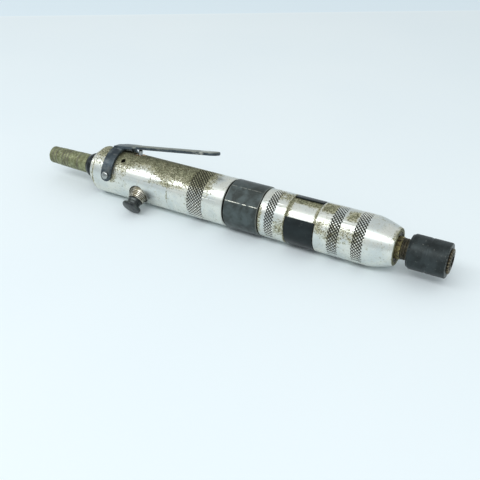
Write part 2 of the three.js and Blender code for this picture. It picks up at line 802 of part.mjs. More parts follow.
function addNose() {
  // The nose tapers in one convex sweep.
  const outline = [[NOSE_REAR, FRONT_R - 0.3], [NOSE_REAR + 0.4, FRONT_R]];
  const steps = 4;
  for (let step = 0; step <= steps; step += 1) {
    const share = step / steps;
    const station = THREE.MathUtils.lerp(NOSE_TAPER, NOSE_FRONT - 0.4, share);
    outline.push([station, FRONT_R - (FRONT_R - NOSE_TIP_R) * share ** 1.5]);
  }
  outline.push([NOSE_FRONT, NOSE_TIP_R - 0.5]);
  const bearingR = 9.5;
  const threadFrom = NOSE_FRONT - 6.4;
  outline.push([NOSE_FRONT, 9.4], [threadFrom, 9.4], [threadFrom, 8.2], [102.4, 8.2]);
  outline.push([102.4, bearingR], [NOSE_REAR + 8.2, bearingR]);
  outline.push([NOSE_REAR + 8.2, 13.5], [NOSE_REAR, 13.5]);
  add(tool, "nose_housing", turned(outline, HOUSING_SIDES), "satinPlate");

  const spindleBearing = (from) => tube(from, from + 6.5, bearingR - GAP, SPINDLE_R + 0.25);
  add(tool, "spindle_rear_bearing", spindleBearing(73), "brightSteel");
  add(tool, "spindle_front_bearing", spindleBearing(95.5), "brightSteel");
  add(tool, "bearing_spacer", tube(79.8, 95.2, bearingR - GAP, 7.9), "darkSteel");

  const retainer = tube(threadFrom + GAP, RETAINER_FRONT, RETAINER_R, 7.2);
  add(tool, "nose_retainer", retainer, "oldBrass");

  // The spindle: a stepped shaft with a hexagonal neck that a wrench can hold.
  const shaft = turned([
    [36.4, 0],
    [36.4, SPINDLE_R],
    [102.8, SPINDLE_R],
    [102.8, 6.2],
    [CHUCK_REAR - 2, 6.2],
    [CHUCK_REAR - 2, SPINDLE_R],
    [CHUCK_REAR + 8, SPINDLE_R],
    [CHUCK_REAR + 8, 0],
  ]);
  const neck = extruded(hexagon(NECK_FLATS), CHUCK_REAR - 3.5, CHUCK_REAR - GAP);
  add(tool, "spindle", join([shaft, neck]), "oldBrass");
}

// -- bit chuck ----------------------------------------------------------------------------------
const CHUCK_BODY_R = 6.7;
const CHUCK_NOSE_R = 5.2;
const COLLAR_R = 7.7;
const SLEEVE_LAND_R = 7;
const SLEEVE_BORE_R = 9.7;
const SLEEVE_SHOULDER = 131.5;
const SNAP_RING = 122.2;
const CHUCK_BALL_STATION = 136;

function addChuck() {
  const collarRear = SLEEVE_FRONT + GAP;
  const groove = [SNAP_RING - GAP, SNAP_RING + 1.3];
  const bodyShape = turned([
    [CHUCK_REAR, CHUCK_BODY_R],
    [groove[0], CHUCK_BODY_R],
    [groove[0], 5.9],
    [groove[1], 5.9],
    [groove[1], CHUCK_BODY_R],
    [collarRear - GAP, CHUCK_BODY_R],
    [collarRear - GAP, CHUCK_NOSE_R],
    [CHUCK_FRONT, CHUCK_NOSE_R],
    [CHUCK_FRONT, 0],
    [CHUCK_REAR + 8 + GAP, 0],
    [CHUCK_REAR + 8 + GAP, SPINDLE_R + GAP],
    [CHUCK_REAR, SPINDLE_R + GAP],
  ]);
  const socket = extruded(hexagon(HEX_SOCKET_FLATS), CHUCK_REAR + 9.8, CHUCK_FRONT + 1);
  const ballHole = radial(rodUp(2, 9, 2.05, 12), CHUCK_BALL_STATION, 0);
  add(tool, "chuck_body", cut(bodyShape, [socket, ballHole]), "blackSteel");

  const ball = new THREE.SphereGeometry(1.75, 8, 6).translate(CHUCK_BALL_STATION, 0, 4.6);
  add(tool, "chuck_ball", ball, "brightSteel");

  const sleeve = turned(
    [
      [SLEEVE_REAR, SLEEVE_R - 1.6],
      [SLEEVE_REAR, SLEEVE_R - 1],
      [SLEEVE_REAR + 1.6, SLEEVE_R],
      [130.4, SLEEVE_R],
      [130.8, SLEEVE_R - 0.35],
      [131.6, SLEEVE_R - 0.35],
      [132, SLEEVE_R],
      [SLEEVE_FRONT - 0.5, SLEEVE_R],
      [SLEEVE_FRONT, SLEEVE_R - 0.5],
      [SLEEVE_FRONT, SLEEVE_LAND_R],
      [140.8, SLEEVE_LAND_R],
      [140.8, 8.4],
      [138, 8.4],
      [138, SLEEVE_LAND_R],
      [SLEEVE_SHOULDER, SLEEVE_LAND_R],
      [SLEEVE_SHOULDER, SLEEVE_BORE_R],
      [SLEEVE_REAR + 0.4, SLEEVE_BORE_R],
    ],
    INNER_SIDES,
  );
  add(tool, "chuck_sleeve", sleeve, "blackSteel");

  const collar = [
    [collarRear, COLLAR_R],
    [CHUCK_FRONT - 0.7, COLLAR_R],
    [CHUCK_FRONT - 0.3, COLLAR_R - 0.5],
    [CHUCK_FRONT - 0.3, CHUCK_NOSE_R + GAP],
    [collarRear, CHUCK_NOSE_R + GAP],
  ];
  add(tool, "chuck_front_collar", turned(collar), "wornNickel");

  const ring = tube(SNAP_RING, SNAP_RING + 1, 9.1, 6.2);
  const gapBlock = new THREE.BoxGeometry(4, 2.4, 8).translate(SNAP_RING, 0, -8);
  add(tool, "chuck_snap_ring", cut(ring, [gapBlock]), "brightSteel");
  const spring = coil(SNAP_RING + 1.3, SLEEVE_SHOULDER - GAP, 8.3, 1, 4).rotateY(Math.PI / 2);
  add(tool, "chuck_spring", spring, "brightSteel");
}

addInlet();
addHandle();
addThrottle();
addReverse();
addMotor();
addGears();
addClutch();
addNose();
addChuck();

// The origin is the bottom centre of the bounding box.
const bounds = new THREE.Box3().setFromObject(tool, true);
const centre = bounds.getCenter(new THREE.Vector3());
tool.position.set(-centre.x, -centre.y, -bounds.min.z);

const part = new THREE.Group();
part.add(tool);
export default part;
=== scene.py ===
"""The looks of a well-used inline air screwdriver, built round its CAD frame.

Lengths are in millimetres round the tool's own axis unless a name says otherwise: a station runs
along the axis towards the chuck, from 0 at the rear edge of the gear case, and an angle round the
axis runs from straight up towards -Y, the side with the reversing button.
"""

import json
from math import acos, atan2, ceil, cos, degrees, hypot, pi, radians, sin, sqrt, tan

import bmesh
import bpy
import numpy as np
from mathutils import Matrix, Vector, noise


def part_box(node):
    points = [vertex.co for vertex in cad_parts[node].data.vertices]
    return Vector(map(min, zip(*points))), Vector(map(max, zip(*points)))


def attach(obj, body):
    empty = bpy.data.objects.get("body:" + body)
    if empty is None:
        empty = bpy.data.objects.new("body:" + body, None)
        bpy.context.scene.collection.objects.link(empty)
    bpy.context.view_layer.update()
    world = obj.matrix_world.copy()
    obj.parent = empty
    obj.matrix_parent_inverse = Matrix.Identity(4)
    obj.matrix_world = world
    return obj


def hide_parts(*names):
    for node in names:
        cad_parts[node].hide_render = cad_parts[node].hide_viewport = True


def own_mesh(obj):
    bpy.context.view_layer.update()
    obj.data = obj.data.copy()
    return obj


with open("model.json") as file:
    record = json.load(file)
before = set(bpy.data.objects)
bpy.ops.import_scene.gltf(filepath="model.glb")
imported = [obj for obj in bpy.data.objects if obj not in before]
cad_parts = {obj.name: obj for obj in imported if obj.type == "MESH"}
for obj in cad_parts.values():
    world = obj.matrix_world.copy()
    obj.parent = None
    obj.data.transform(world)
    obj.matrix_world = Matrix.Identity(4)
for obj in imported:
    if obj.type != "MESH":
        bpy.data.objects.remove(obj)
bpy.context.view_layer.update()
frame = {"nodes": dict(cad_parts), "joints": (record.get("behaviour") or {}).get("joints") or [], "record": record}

MM = 0.001
GEAR_SPIGOT = 8.5  # how far the gear case reaches behind its visible ring
FRONT_SPIGOT = 6.5  # and ahead of it

nose_low, nose_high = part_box("nose_housing")
AXIS_Y = (nose_low.y + nose_high.y) / 2
AXIS_Z = (nose_low.z + nose_high.z) / 2
ORIGIN_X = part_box("gear_case")[0].x + GEAR_SPIGOT * MM


def span(node):
    """A CAD node's rear and front stations."""
    low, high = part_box(node)
    return (low.x - ORIGIN_X) / MM, (high.x - ORIGIN_X) / MM


def middle(node):
    rear, front = span(node)
    return (rear + front) / 2


def width(node):
    """A CAD node's size across the axis."""
    low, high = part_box(node)
    return (high.y - low.y) / MM


def joint_axis(name):
    return next(Vector(j["axis"]) for j in frame["joints"] if j["name"] == name)


# ---- stations, radii and angles -----------------------------------------------------------------
FITTING_REAR, FITTING_FRONT = span("inlet_fitting")
BUSHING_REAR, BUSHING_FRONT = span("inlet_bushing")
RING_REAR, RING_FRONT = span("exhaust_ring")
HANDLE_REAR, HANDLE_FRONT = span("handle_housing")
CASE_REAR = 0.0
CASE_FRONT = span("gear_case")[1] - FRONT_SPIGOT
CLUTCH_REAR, CLUTCH_FRONT = span("clutch_housing")
BAND_REAR, BAND_FRONT = span("clutch_cover_band")
NOSE_REAR, NOSE_FRONT = span("nose_housing")
RETAINER_REAR, RETAINER_FRONT = span("nose_retainer")
CHUCK_REAR, CHUCK_FRONT = span("chuck_body")
SLEEVE_REAR, SLEEVE_FRONT = span("chuck_sleeve")
COLLAR_REAR, COLLAR_FRONT = span("chuck_front_collar")
PIVOT = middle("lever_pivot_screw_near")
THROTTLE = middle("throttle_valve_stem")
REVERSE = middle("reverse_button")

HANDLE_R = 16.3
CASE_R = 16.5
FRONT_R = 15.9
NOSE_TIP_R = 11.8
SLEEVE_R = width("chuck_sleeve") / 2
BORE_R = 13.6

lever_axis = joint_axis("lever_press")
reverse_axis = joint_axis("reverse_press")
LEVER_ANGLE = degrees(atan2(lever_axis.z, lever_axis.y))
REVERSE_ANGLE = degrees(atan2(-reverse_axis.y, reverse_axis.z))
REVERSE_SHIFT = 3.1
BOSS_R = 6.8
BOSS_FLOOR = 12.4
FLAT_ANGLE = 36.6
FLAT_DISTANCE = 15.5
FLAT_HALF = degrees(acos(FLAT_DISTANCE / CASE_R))
BAND_ENDS = (56.0, 355.0)  # the angles of the split band's two ends
CLUTCH_WINDOW = (57, 205)  # the station and angle of the hole under it

LOCK_HOLE = {"station": -84.9, "angle": 28.0, "radius": 1.75}

# Knurled bands, as rear and front stations.
HANDLE_KNURL = (-28.5, -16.3)
CLUTCH_KNURL = (29.2, 35.8)
NOSE_KNURLS = ((72.0, 79.4), (87.7, 95.1))
KNURL_COUNT = 46  # grooves of each hand round the tool
KNURL_LEAD = 2.2  # their spacing along the axis
KNURL_DEPTH = 0.5
KNURL_HANDS = ((1, 0.42), (-1, 0.58))  # each hand's slant, and how wide its grooves are
KNURL_FLANK = 0.26  # how gently a groove's sides slope
KNURL_RUNOUT = 0.35

ROUND = 552  # sides of a knurled housing: twelve to a groove
SMOOTH_ROUND = 128


# ---- places -------------------------------------------------------------------------------------
def axis_point(station):
    return Vector((ORIGIN_X + station * MM, AXIS_Y, AXIS_Z))


def on_axis():
    """Local x up, y towards -Y and z along the tool: the frame of bodies turned about its axis."""
    columns = Matrix(((0, 0, 1), (0, -1, 0), (1, 0, 0))).to_4x4()
    return Matrix.Translation(axis_point(0)) @ Matrix.Scale(MM, 4) @ columns


def outward(station, angle, shift=0):
    """Local x along the tool and z out from its axis, or from a line shifted across it."""
    turn = Matrix.Rotation(radians(angle), 4, "X")
    start = Matrix.Translation(axis_point(station))
    return start @ Matrix.Scale(MM, 4) @ turn @ Matrix.Translation((0, shift, 0))


def reversing_valve():
    """The place of the reversing valve, whose axis passes above the tool's."""
    return outward(REVERSE, REVERSE_ANGLE, REVERSE_SHIFT)


# ---- mesh tools ---------------------------------------------------------------------------------
def make(name, points, faces, where, groove=None):
    """A smooth-shaded object from local points, with sharp edges kept sharp."""
    world = np.array(where)
    placed = np.asarray(points, float) @ world[:3, :3].T + world[:3, 3]
    mesh = bpy.data.meshes.new(name)
    mesh.from_pydata(placed.tolist(), [], faces)
    if groove is not None:
        attribute = mesh.attributes.new("groove", "FLOAT", "POINT")
        attribute.data.foreach_set("value", np.asarray(groove, np.float32).ravel())
    finish_mesh(mesh)
    return add_object(name, mesh)


def add_object(name, data):
    piece = bpy.data.objects.new(name, data)
    bpy.context.collection.objects.link(piece)
    return piece


def finish_mesh(mesh, angle=38):
    mesh.validate()
    for polygon in mesh.polygons:
        polygon.use_smooth = True
    mesh.set_sharp_from_angle(angle=radians(angle))
    mesh.update()


def soften(outline, radius, steps=3):
    """Rounds the corners of a closed outline, each by at most 0.4 of its shorter side."""
    count = len(outline)
    result = []
    for i, corner in enumerate(np.asarray(outline, float)):
        before = np.asarray(outline[i - 1], float) - corner
        after = np.asarray(outline[(i + 1) % count], float) - corner
        lengths = np.linalg.norm(before), np.linalg.norm(after)
        reach = min(radius, 0.4 * min(lengths))
        start = corner + before / lengths[0] * reach
        end = corner + after / lengths[1] * reach
        for share in np.linspace(0, 1, steps + 1):
            inner = (1 - share) ** 2 * start + share**2 * end
            result.append(tuple(inner + 2 * share * (1 - share) * corner))
    return result


def divide(outline, step, low=-1e9, high=1e9, above=0.0):
    """Adds points where a closed outline runs between two heights outside a radius."""
    result = []
    for i, (h0, r0) in enumerate(outline):
        h1, r1 = outline[(i + 1) % len(outline)]
        inside = [h for h in (low, high) if min(h0, h1) < h < max(h0, h1)]
        cuts = sorted([h0, *inside, h1], reverse=bool(h0 > h1))
        for a, b in zip(cuts[:-1], cuts[1:]):
            fine = low <= (a + b) / 2 <= high and min(r0, r1) > above
            parts = max(1, ceil(abs(b - a) / step)) if fine else 1
            for part in range(parts):
                h = a + (b - a) * part / parts
                share = (h - h0) / (h1 - h0) if h1 != h0 else 0
                result.append((h, r0 + (r1 - r0) * share))
        if h0 == h1:
            result.append((h0, r0))
    return [p for i, p in enumerate(result) if p != result[i - 1]]


def turned(name, outline, where, sides=SMOOTH_ROUND, relief=None):
    """A closed solid of revolution. The outline is (height, radius), forward along the outside and
    back along the inside; one that starts and ends on the axis is solid. relief(h, r, angle) gives
    what is added to the radius, and how deep in a groove the point is."""
    solid = outline[0][1] == 0
    rows = outline[1:-1] if solid else outline
    h, r = (np.array(column)[:, None] for column in zip(*rows))
    angles = np.linspace(0, 2 * np.pi, sides, endpoint=False)[None, :]
    h, r, angles = np.broadcast_arrays(h, r, angles)
    groove = np.zeros(h.shape)
    if relief:
        change, groove = relief(h, r, angles)
        r = r + change
    points = np.stack([r * np.cos(angles), r * np.sin(angles), h], -1).reshape(-1, 3).tolist()
    count = len(rows)
    faces = []
    for i in range(count - 1 if solid else count):
        k = (i + 1) % count
        for j in range(sides):
            n = (j + 1) % sides
            faces.append((i * sides + j, i * sides + n, k * sides + n, k * sides + j))
    groove = groove.ravel().tolist()
    if solid:
        first, last = len(points), len(points) + 1
        points += [(0, 0, outline[0][0]), (0, 0, outline[-1][0])]
        groove += [0, 0]
        top = (count - 1) * sides
        for j in range(sides):
            n = (j + 1) % sides
            faces.append((first, n, j))
            faces.append((last, top + j, top + n))
    return make(name, points, faces, where, groove)


def loft(name, loops, where):
    """A closed solid through loops of points, with flat ends."""
    count = len(loops[0])
    points = [p for loop in loops for p in loop]
    faces = [tuple(range(count)), tuple(reversed(range(len(points) - count, len(points))))]
    for j in range(len(loops) - 1):
        for i in range(count):
            k = (i + 1) % count
            a, b = j * count, (j + 1) * count
            faces.append((a + i, b + i, b + k, a + k))
    piece = make(name, points, faces, where)
    outward_faces(piece)
    return piece


def outward_faces(piece):
    """Turns a closed mesh's faces outwards."""
    mesh = bmesh.new()
    mesh.from_mesh(piece.data)
    bmesh.ops.recalc_face_normals(mesh, faces=mesh.faces)
    mesh.to_mesh(piece.data)
    mesh.free()


def swept_arc(name, outline, where, start, stop, steps):
    """A closed outline of (height, radius) turned through part of a circle, with flat ends."""
    loops = []
    for angle in np.radians(np.linspace(start, stop, steps + 1)):
        loops.append([(r * cos(angle), r * sin(angle), h) for h, r in outline])
    return loft(name, loops, where)


def apply_modifiers(piece):
    graph = bpy.context.evaluated_depsgraph_get()
    graph.update()
    mesh = bpy.data.meshes.new_from_object(piece.evaluated_get(graph))
    piece.modifiers.clear()
    piece.data = mesh
    finish_mesh(mesh)
    return piece


def combine(piece, operation, others):
    """Cuts the others out of a piece, or joins them to it, and removes them."""
    for other in others:
        modifier = piece.modifiers.new("boolean", "BOOLEAN")
        modifier.operation = operation
        modifier.object = other
        modifier.solver = "MANIFOLD"
    apply_modifiers(piece)
    for other in others:
        bpy.data.objects.remove(other)
    return piece


def cylinder(name, low, high, radius, where, sides=32):
    return turned(name, [(low, 0), (low, radius), (high, radius), (high, 0)], where, sides)


def prism(name, corners, low, high, where):
    """A flat outline of local (x, y) points, extruded along local z."""
    count = len(corners)
    points = [(x, y, low) for x, y in corners] + [(x, y, high) for x, y in corners]
    faces = [tuple(reversed(range(count))), tuple(range(count, 2 * count))]
    faces += [(i, (i + 1) % count, count + (i + 1) % count, count + i) for i in range(count)]
    return make(name, points, faces, where)


def hexagon(flats):
    corner = flats / 2 / cos(pi / 6)
    turns = [radians(60 * i + 30) for i in range(6)]
    return [(corner * cos(t), corner * sin(t)) for t in turns]


# ---- knurling -----------------------------------------------------------------------------------
def knurl_depth(h, angles, rear, front):
    """0 on the lands and 1 at the bottom of a diamond knurl's grooves, which start raggedly."""
    turns = KNURL_COUNT * angles / (2 * np.pi)
    depth = np.zeros(h.shape)
    for hand, share in KNURL_HANDS:
        wave = np.abs((turns + hand * h / KNURL_LEAD) % 1 - 0.5) * 2
        depth = np.maximum(depth, np.clip((share - wave) / KNURL_FLANK, 0, 1))
    ragged = 0.1 + 0.2 * np.sin(7 * angles + rear) * np.sin(17 * angles + 1)
    edge = np.clip((np.minimum(h - rear, front - h) - ragged) / KNURL_RUNOUT, 0, 1)
    return depth * edge


def knurled(bands, above):
    def relief(h, r, angles):
        depth = np.zeros(h.shape)
        for rear, front in bands:
            depth = np.maximum(depth, knurl_depth(h, angles, rear, front))
        depth = np.where(r > above, depth, 0)
        return -KNURL_DEPTH * depth, depth

    return relief


def knurl_rows(outline, bands, above):
    for rear, front in bands:
        outline = divide(outline, KNURL_LEAD / 12, rear, front, above)
    return outline


# ---- materials ----------------------------------------------------------------------------------
def srgb(red, green, blue):
    """An 8-bit display colour as a linear one. No channel is dark enough for sRGB's straight part."""
    linear = [((c / 255 + 0.055) / 1.055) ** 2.4 for c in (red, green, blue)]
    return (*linear, 1.0)


class Finish:
    """A material written as expressions on its node tree."""

    def __init__(self, name):
        self.material = bpy.data.materials.new(name)
        self.material.use_nodes = True
        self.tree = self.material.node_tree
        self.shader = self.tree.nodes["Principled BSDF"]
        self.place()

    def node(self, kind, inputs=None, **settings):
        node = self.tree.nodes.new(kind)
        for key, value in settings.items():
            setattr(node, key, value)
        for key, value in (inputs or {}).items():
            self.put(node.inputs[key], value)
        return node

    def put(self, socket, value):
        if isinstance(value, bpy.types.NodeSocket):
            self.tree.links.new(value, socket)
        else:
            socket.default_value = value

    def math(self, operation, *values):
        return self.node("ShaderNodeMath", dict(enumerate(values)), operation=operation).outputs[0]

    def fold(self, operation, values):
        result = values[0]
        for value in values[1:]:
            result = self.math(operation, result, value)
        return result

    def times(self, *values):
        return self.fold("MULTIPLY", values)

    def plus(self, *values):
        return self.fold("ADD", values)

    def most(self, *values):
        return self.fold("MAXIMUM", values)

    def away(self, value, target):
        """The distance of a value from a target."""
        return self.math("ABSOLUTE", self.math("SUBTRACT", value, target))

    def near(self, value, centre, faded, full):
        """1 within `full` of a centre, and 0 beyond `faded`."""
        return self.ramp(self.away(value, centre), faded, full)

    def patch(self, station, angle, strength):
        """A soft-edged patch, given as near()'s centre, faded and full for its station and angle."""
        return self.times(self.near(self.station, *station), self.near(self.angle, *angle), strength)

    def ramp(self, value, low, high, to_low=0.0, to_high=1.0):
        inputs = {"Value": value, "From Min": low, "From Max": high, "To Min": to_low, "To Max": to_high}
        return self.node("ShaderNodeMapRange", inputs, interpolation_type="SMOOTHSTEP").outputs[0]

    def mix(self, share, first, second):
        inputs = {0: share, 6: first, 7: second}
        return self.node("ShaderNodeMix", inputs, data_type="RGBA").outputs[2]

    def place(self):
        """Sockets for the point, its station, its angle in degrees and its radius."""
        where = self.node("ShaderNodeTexCoord").outputs["Object"]
        inputs = {0: where, 1: (-ORIGIN_X, -AXIS_Y, -AXIS_Z)}
        moved = self.node("ShaderNodeVectorMath", inputs, operation="ADD").outputs[0]
        scaled = self.node("ShaderNodeVectorMath", {0: moved, "Scale": 1 / MM}, operation="SCALE")
        self.point = scaled.outputs[0]
        axes = self.node("ShaderNodeSeparateXYZ", {0: self.point})
        self.station = axes.outputs["X"]
        towards = self.math("MULTIPLY", axes.outputs["Y"], -1.0)
        turn = self.math("ARCTAN2", towards, axes.outputs["Z"])
        self.angle = self.math("DEGREES", turn)
        across = self.stretched(0, 1, 1)
        self.radius = self.node("ShaderNodeVectorMath", {0: across}, operation="LENGTH").outputs["Value"]

    def noise(self, size, detail=3.0, rough=0.55, vector=None, warp=0.0):
        """A noise of about 0.5 whose blotches are `size` millimetres across."""
        inputs = {
            "Vector": self.point if vector is None else vector,
            "Scale": 1 / size,
            "Detail": detail,
            "Roughness": rough,
            "Distortion": warp,
        }
        return self.node("ShaderNodeTexNoise", inputs).outputs[0]

    def blotches(self, low, high, *kind, **more):
        """A noise from which only what passes a soft threshold is left."""
        return self.ramp(self.noise(*kind, **more), low, high)

    def stretched(self, x, y, z):
        """The point, scaled along each axis, for streaks."""
        inputs = {0: self.point, 1: (x, y, z)}
        return self.node("ShaderNodeVectorMath", inputs, operation="MULTIPLY").outputs[0]

    def groove(self):
        return self.node("ShaderNodeAttribute", attribute_name="groove").outputs["Fac"]

    def finish(self, colour, rough, metal, bump=None, depth=0.05):
        self.put(self.shader.inputs["Base Color"], colour)
        self.put(self.shader.inputs["Roughness"], rough)
        self.put(self.shader.inputs["Metallic"], metal)
        if bump is not None:
            inputs = {"Height": bump, "Strength": 1.0, "Distance": depth * MM}
            shape = self.node("ShaderNodeBump", inputs)
            self.put(self.shader.inputs["Normal"], shape.outputs[0])
        return self.material


PLATE = srgb(228, 229, 221)
PLATE_COOL = srgb(214, 219, 216)
CREAM = srgb(202, 201, 176)
OLIVE = srgb(152, 152, 122)
OLIVE_DARK = srgb(104, 106, 82)
TAN = srgb(188, 184, 154)
PIT = srgb(72, 67, 42)
# Near-black for grime and painted shade in grooves and notches, and for painted shade inside holes.
SOOT_AND_SHADE = srgb(30, 29, 22)
DIRT = srgb(84, 72, 80)


def plated(name, stain_of, hollow=8.0):
    """Satin plating on steel, worn through to an olive patina where stain_of says, with the
    edges of the worn places broken into speckles and pits, grime and painted shade in the knurl
    grooves, and painted shade inside the holes below the radius `hollow`."""
    f = Finish(name)
    coarse = f.noise(7, 4, 0.65, warp=0.3)
    fine = f.noise(1.6, 4, 0.7)
    speckle = f.noise(0.62, 2, 0.6)
    ragged = f.plus(f.times(f.plus(coarse, -0.5), 1.2), f.times(f.plus(fine, -0.5), 1.7))
    reach = f.plus(stain_of(f), ragged)
    stain = f.ramp(reach, 0.46, 0.54)
    rim = f.times(f.ramp(reach, 0.16, 0.44), f.ramp(speckle, 0.51, 0.56))
    holes = f.times(f.blotches(0.59, 0.63, 0.8, 2, 0.5), f.ramp(reach, 0.1, 0.5, 0.1, 1))
    groove = f.groove()
    # cut darkens the knurl grooves with grime and painted shade, and paints shade inside holes below the radius
    # `hollow`.
    cut = f.most(f.ramp(groove, 0.4, 0.9), f.ramp(f.radius, hollow, hollow - 0.4))
    plate = f.mix(f.blotches(0.38, 0.64, 12, 3), PLATE, PLATE_COOL)
    plate = f.mix(f.times(f.blotches(0.55, 0.72, 2.2, 3, 0.6), 0.3), plate, TAN)
    plate = f.mix(f.ramp(reach, 0.05, 0.5, 0, 0.8), plate, CREAM)
    patina = f.mix(f.blotches(0.36, 0.58, 2.6, 4, 0.7), OLIVE_DARK, OLIVE)
    patina = f.mix(f.ramp(reach, 0.86, 0.5), patina, TAN)
    flecks = f.times(f.blotches(0.52, 0.6, 0.5, 2, 0.5), f.ramp(reach, 0.95, 0.5))
    patina = f.mix(f.times(flecks, 0.6), patina, plate)
    colour = f.mix(stain, plate, patina)
    colour = f.mix(f.times(f.most(rim, f.times(holes, 0.8)), 0.9), colour, PIT)
    colour = f.mix(cut, colour, SOOT_AND_SHADE)
    dull = f.most(f.times(stain, f.math("SUBTRACT", 1.0, f.times(flecks, 0.7))), rim, holes, cut)
    turning = f.noise(0.5, 3, 0.6, f.stretched(1, 0.04, 0.04))
    smear = f.noise(6, 3, 0.6)
    rough = f.plus(f.ramp(smear, 0.3, 0.7, 0.24, 0.36), f.times(dull, 0.34), f.times(turning, 0.06))
    metal = f.ramp(dull, 0, 1, 1, 0.25)
    height = f.plus(f.times(dull, -0.7), f.times(speckle, 0.15), f.times(turning, 0.12))
    return f.finish(colour, rough, metal, height, 0.07)


def handle_stain(f):
    """The palm's wear: along the top, and round the rear end as far as the lever's pivots."""
    top = f.times(f.near(f.angle, -4, 72, 26), f.ramp(f.station, -6, -20), 0.98)
    rear = f.times(f.near(f.angle, 6, 84, 22), f.ramp(f.station, -74, -86), 0.84)
    under_lever = f.patch((PIVOT, 9, 5), (62, 34, 20), 0.5)
    rim = f.times(f.ramp(f.station, -105.6, -107), f.near(f.angle, 30, 120, 70), 0.9)
    knurl = f.patch((sum(HANDLE_KNURL) / 2, 12, 4), (62, 40, 10), 0.2)
    spots = f.patch((-48, 22, 10), (60, 9, 2), 0.4)
    scribed_ring = f.patch((-44, 0.6, 0.15), (88, 38, 30), 0.44)
    bare = f.patch((-66, 13, 6), (42, 26, 14), -0.34)
    behind_yoke = f.ramp(f.station, -97.5, -100, 0, -0.26)
    worn = f.most(top, rear, under_lever, rim)
    return f.plus(worn, bare, behind_yoke, -0.06, knurl, spots, scribed_ring)


def clutch_stain(f):
    """Grime and painted shade along the edges of the groove that the band turns in and on its floor beside the
    band's end, and rust next to the gear case.
    """
    from_band = f.away(f.station, (BAND_REAR + BAND_FRONT) / 2)
    # window: grime and painted shade along the groove's walls.
    window = f.times(f.ramp(from_band, 6.6, 9.6), f.ramp(from_band, 11.8, 9.9), 0.72)
    # floor: grime and painted shadow on the groove floor beside the band's end.
    floor = f.times(f.near(f.angle, 2, 19, 7), f.ramp(from_band, 10.5, 9.6), 0.9)
    joint = f.times(f.ramp(f.station, 28.8, 25.4), f.near(f.angle, 84, 46, 20), 0.66)
    behind = f.patch((39.6, 4.6, 2), (88, 30, 8), 0.46)
    top = f.patch((38.6, 6, 3), (4, 22, 8), 0.62)
    return f.plus(f.most(window, floor, joint, behind, top), -0.02)


def nose_stain(f):
    """Patches between and beside the knurled bands, and a dark lip of grime and painted shade over the nose's
    front face.
    """
    first = f.patch((68.5, 5.6, 3), (4, 26, 12), 0.86)
    second = f.patch((84, 4.6, 2), (14, 24, 8), 0.74)
    low = f.patch((80, 18, 8), (66, 30, 10), 0.38)
    rear = f.patch((66, 5, 2), (62, 22, 8), 0.52)
    tip = f.times(f.ramp(f.station, 108.5, 112), f.near(f.angle, -10, 80, 40), 0.45)
    # lip: grime and painted shade over the nose's front face.
    lip = f.ramp(f.station, NOSE_FRONT - 0.35, NOSE_FRONT - 0.1, 0, 1.4)
    return f.plus(f.most(first, second, low, rear, tip), lip, -0.02)


def ring_stain(f):
    return f.times(f.noise(5), 0.3)


def blued(name, base, light, worn_edges, shine=0.42, mottle=0.6, film_of=None):
    """Dark oxide on steel: mottled, lighter where it is rubbed, bright along worn edges and wherever worn_edges
    paints a highlight.
    """
    f = Finish(name)
    blotch = f.ramp(f.noise(7, 3, 0.55, warp=0.3), 0.36, 0.66, 0, mottle)
    rubbed = f.blotches(0.52, 0.74, 1.4, 4, 0.65)
    scratches = f.blotches(0.7, 0.76, 0.9, 2, 0.5, f.stretched(0.3, 2.2, 2.2))
    colour = f.mix(blotch, base, light)
    colour = f.mix(f.times(rubbed, 0.3), colour, light)
    colour = f.mix(f.times(scratches, 0.22), colour, srgb(150, 156, 152))
    if film_of:
        colour = f.mix(film_of(f), colour, srgb(124, 126, 110))
    worn = worn_edges(f)
    # worn also carries the painted highlights that worn_edges gives, as on the gear case's ends.
    colour = f.mix(worn, colour, srgb(212, 212, 200))
    rough = f.plus(shine, f.times(blotch, 0.08), f.times(rubbed, 0.08), f.times(worn, -0.1))
    metal = f.ramp(worn, 0, 1, 0.75, 1)
    height = f.plus(f.times(rubbed, 0.3), f.times(f.noise(0.4, 2), 0.25))
    return f.finish(colour, rough, metal, height, 0.04)


def case_wear_and_highlight(f):
    """Bright worn corners of the wrench flats, and a faint painted highlight on the chamfered ends of the case."""
    broken = f.blotches(0.36, 0.56, 2.2, 2, 0.5, f.stretched(1, 0.3, 0.3))
    near = f.near(f.angle, FLAT_ANGLE + FLAT_HALF, 1.3, 0.35)
    far = f.near(f.angle, FLAT_ANGLE - FLAT_HALF, 1.2, 0.3)
    # ends: a faint painted highlight on the case's chamfered ends.
    centre, half = (CASE_REAR + CASE_FRONT) / 2, (CASE_FRONT - CASE_REAR) / 2
    ends = f.near(f.station, centre, half - 0.6, half - 0.1)
    return f.most(f.times(near, broken), f.times(far, broken, 0.35), f.times(ends, 0.22))


def lever_film(f):
    """A dull olive film over the top of the thumb strip."""
    facing = f.node("ShaderNodeSeparateXYZ", {0: f.node("ShaderNodeTexCoord").outputs["Normal"]})
    strip = f.times(f.ramp(f.station, PIVOT + 2, PIVOT + 14), f.ramp(facing.outputs["Z"], 0.5, 0.85))
    return f.times(strip, f.ramp(f.noise(4, 3, 0.6, f.stretched(0.5, 1, 1)), 0.3, 0.6, 0.5, 0.95))


def lever_wear(f):
    """Rubbed along the thumb strip's edges, with a bright spot near its tip."""
    tip = f.near(f.station, -27, 9, 3)
    patchy = f.blotches(0.46, 0.66, 3, 3, 0.6, f.stretched(0.5, 1, 1))
    return f.most(f.times(tip, patchy, 0.75), f.times(patchy, 0.1))


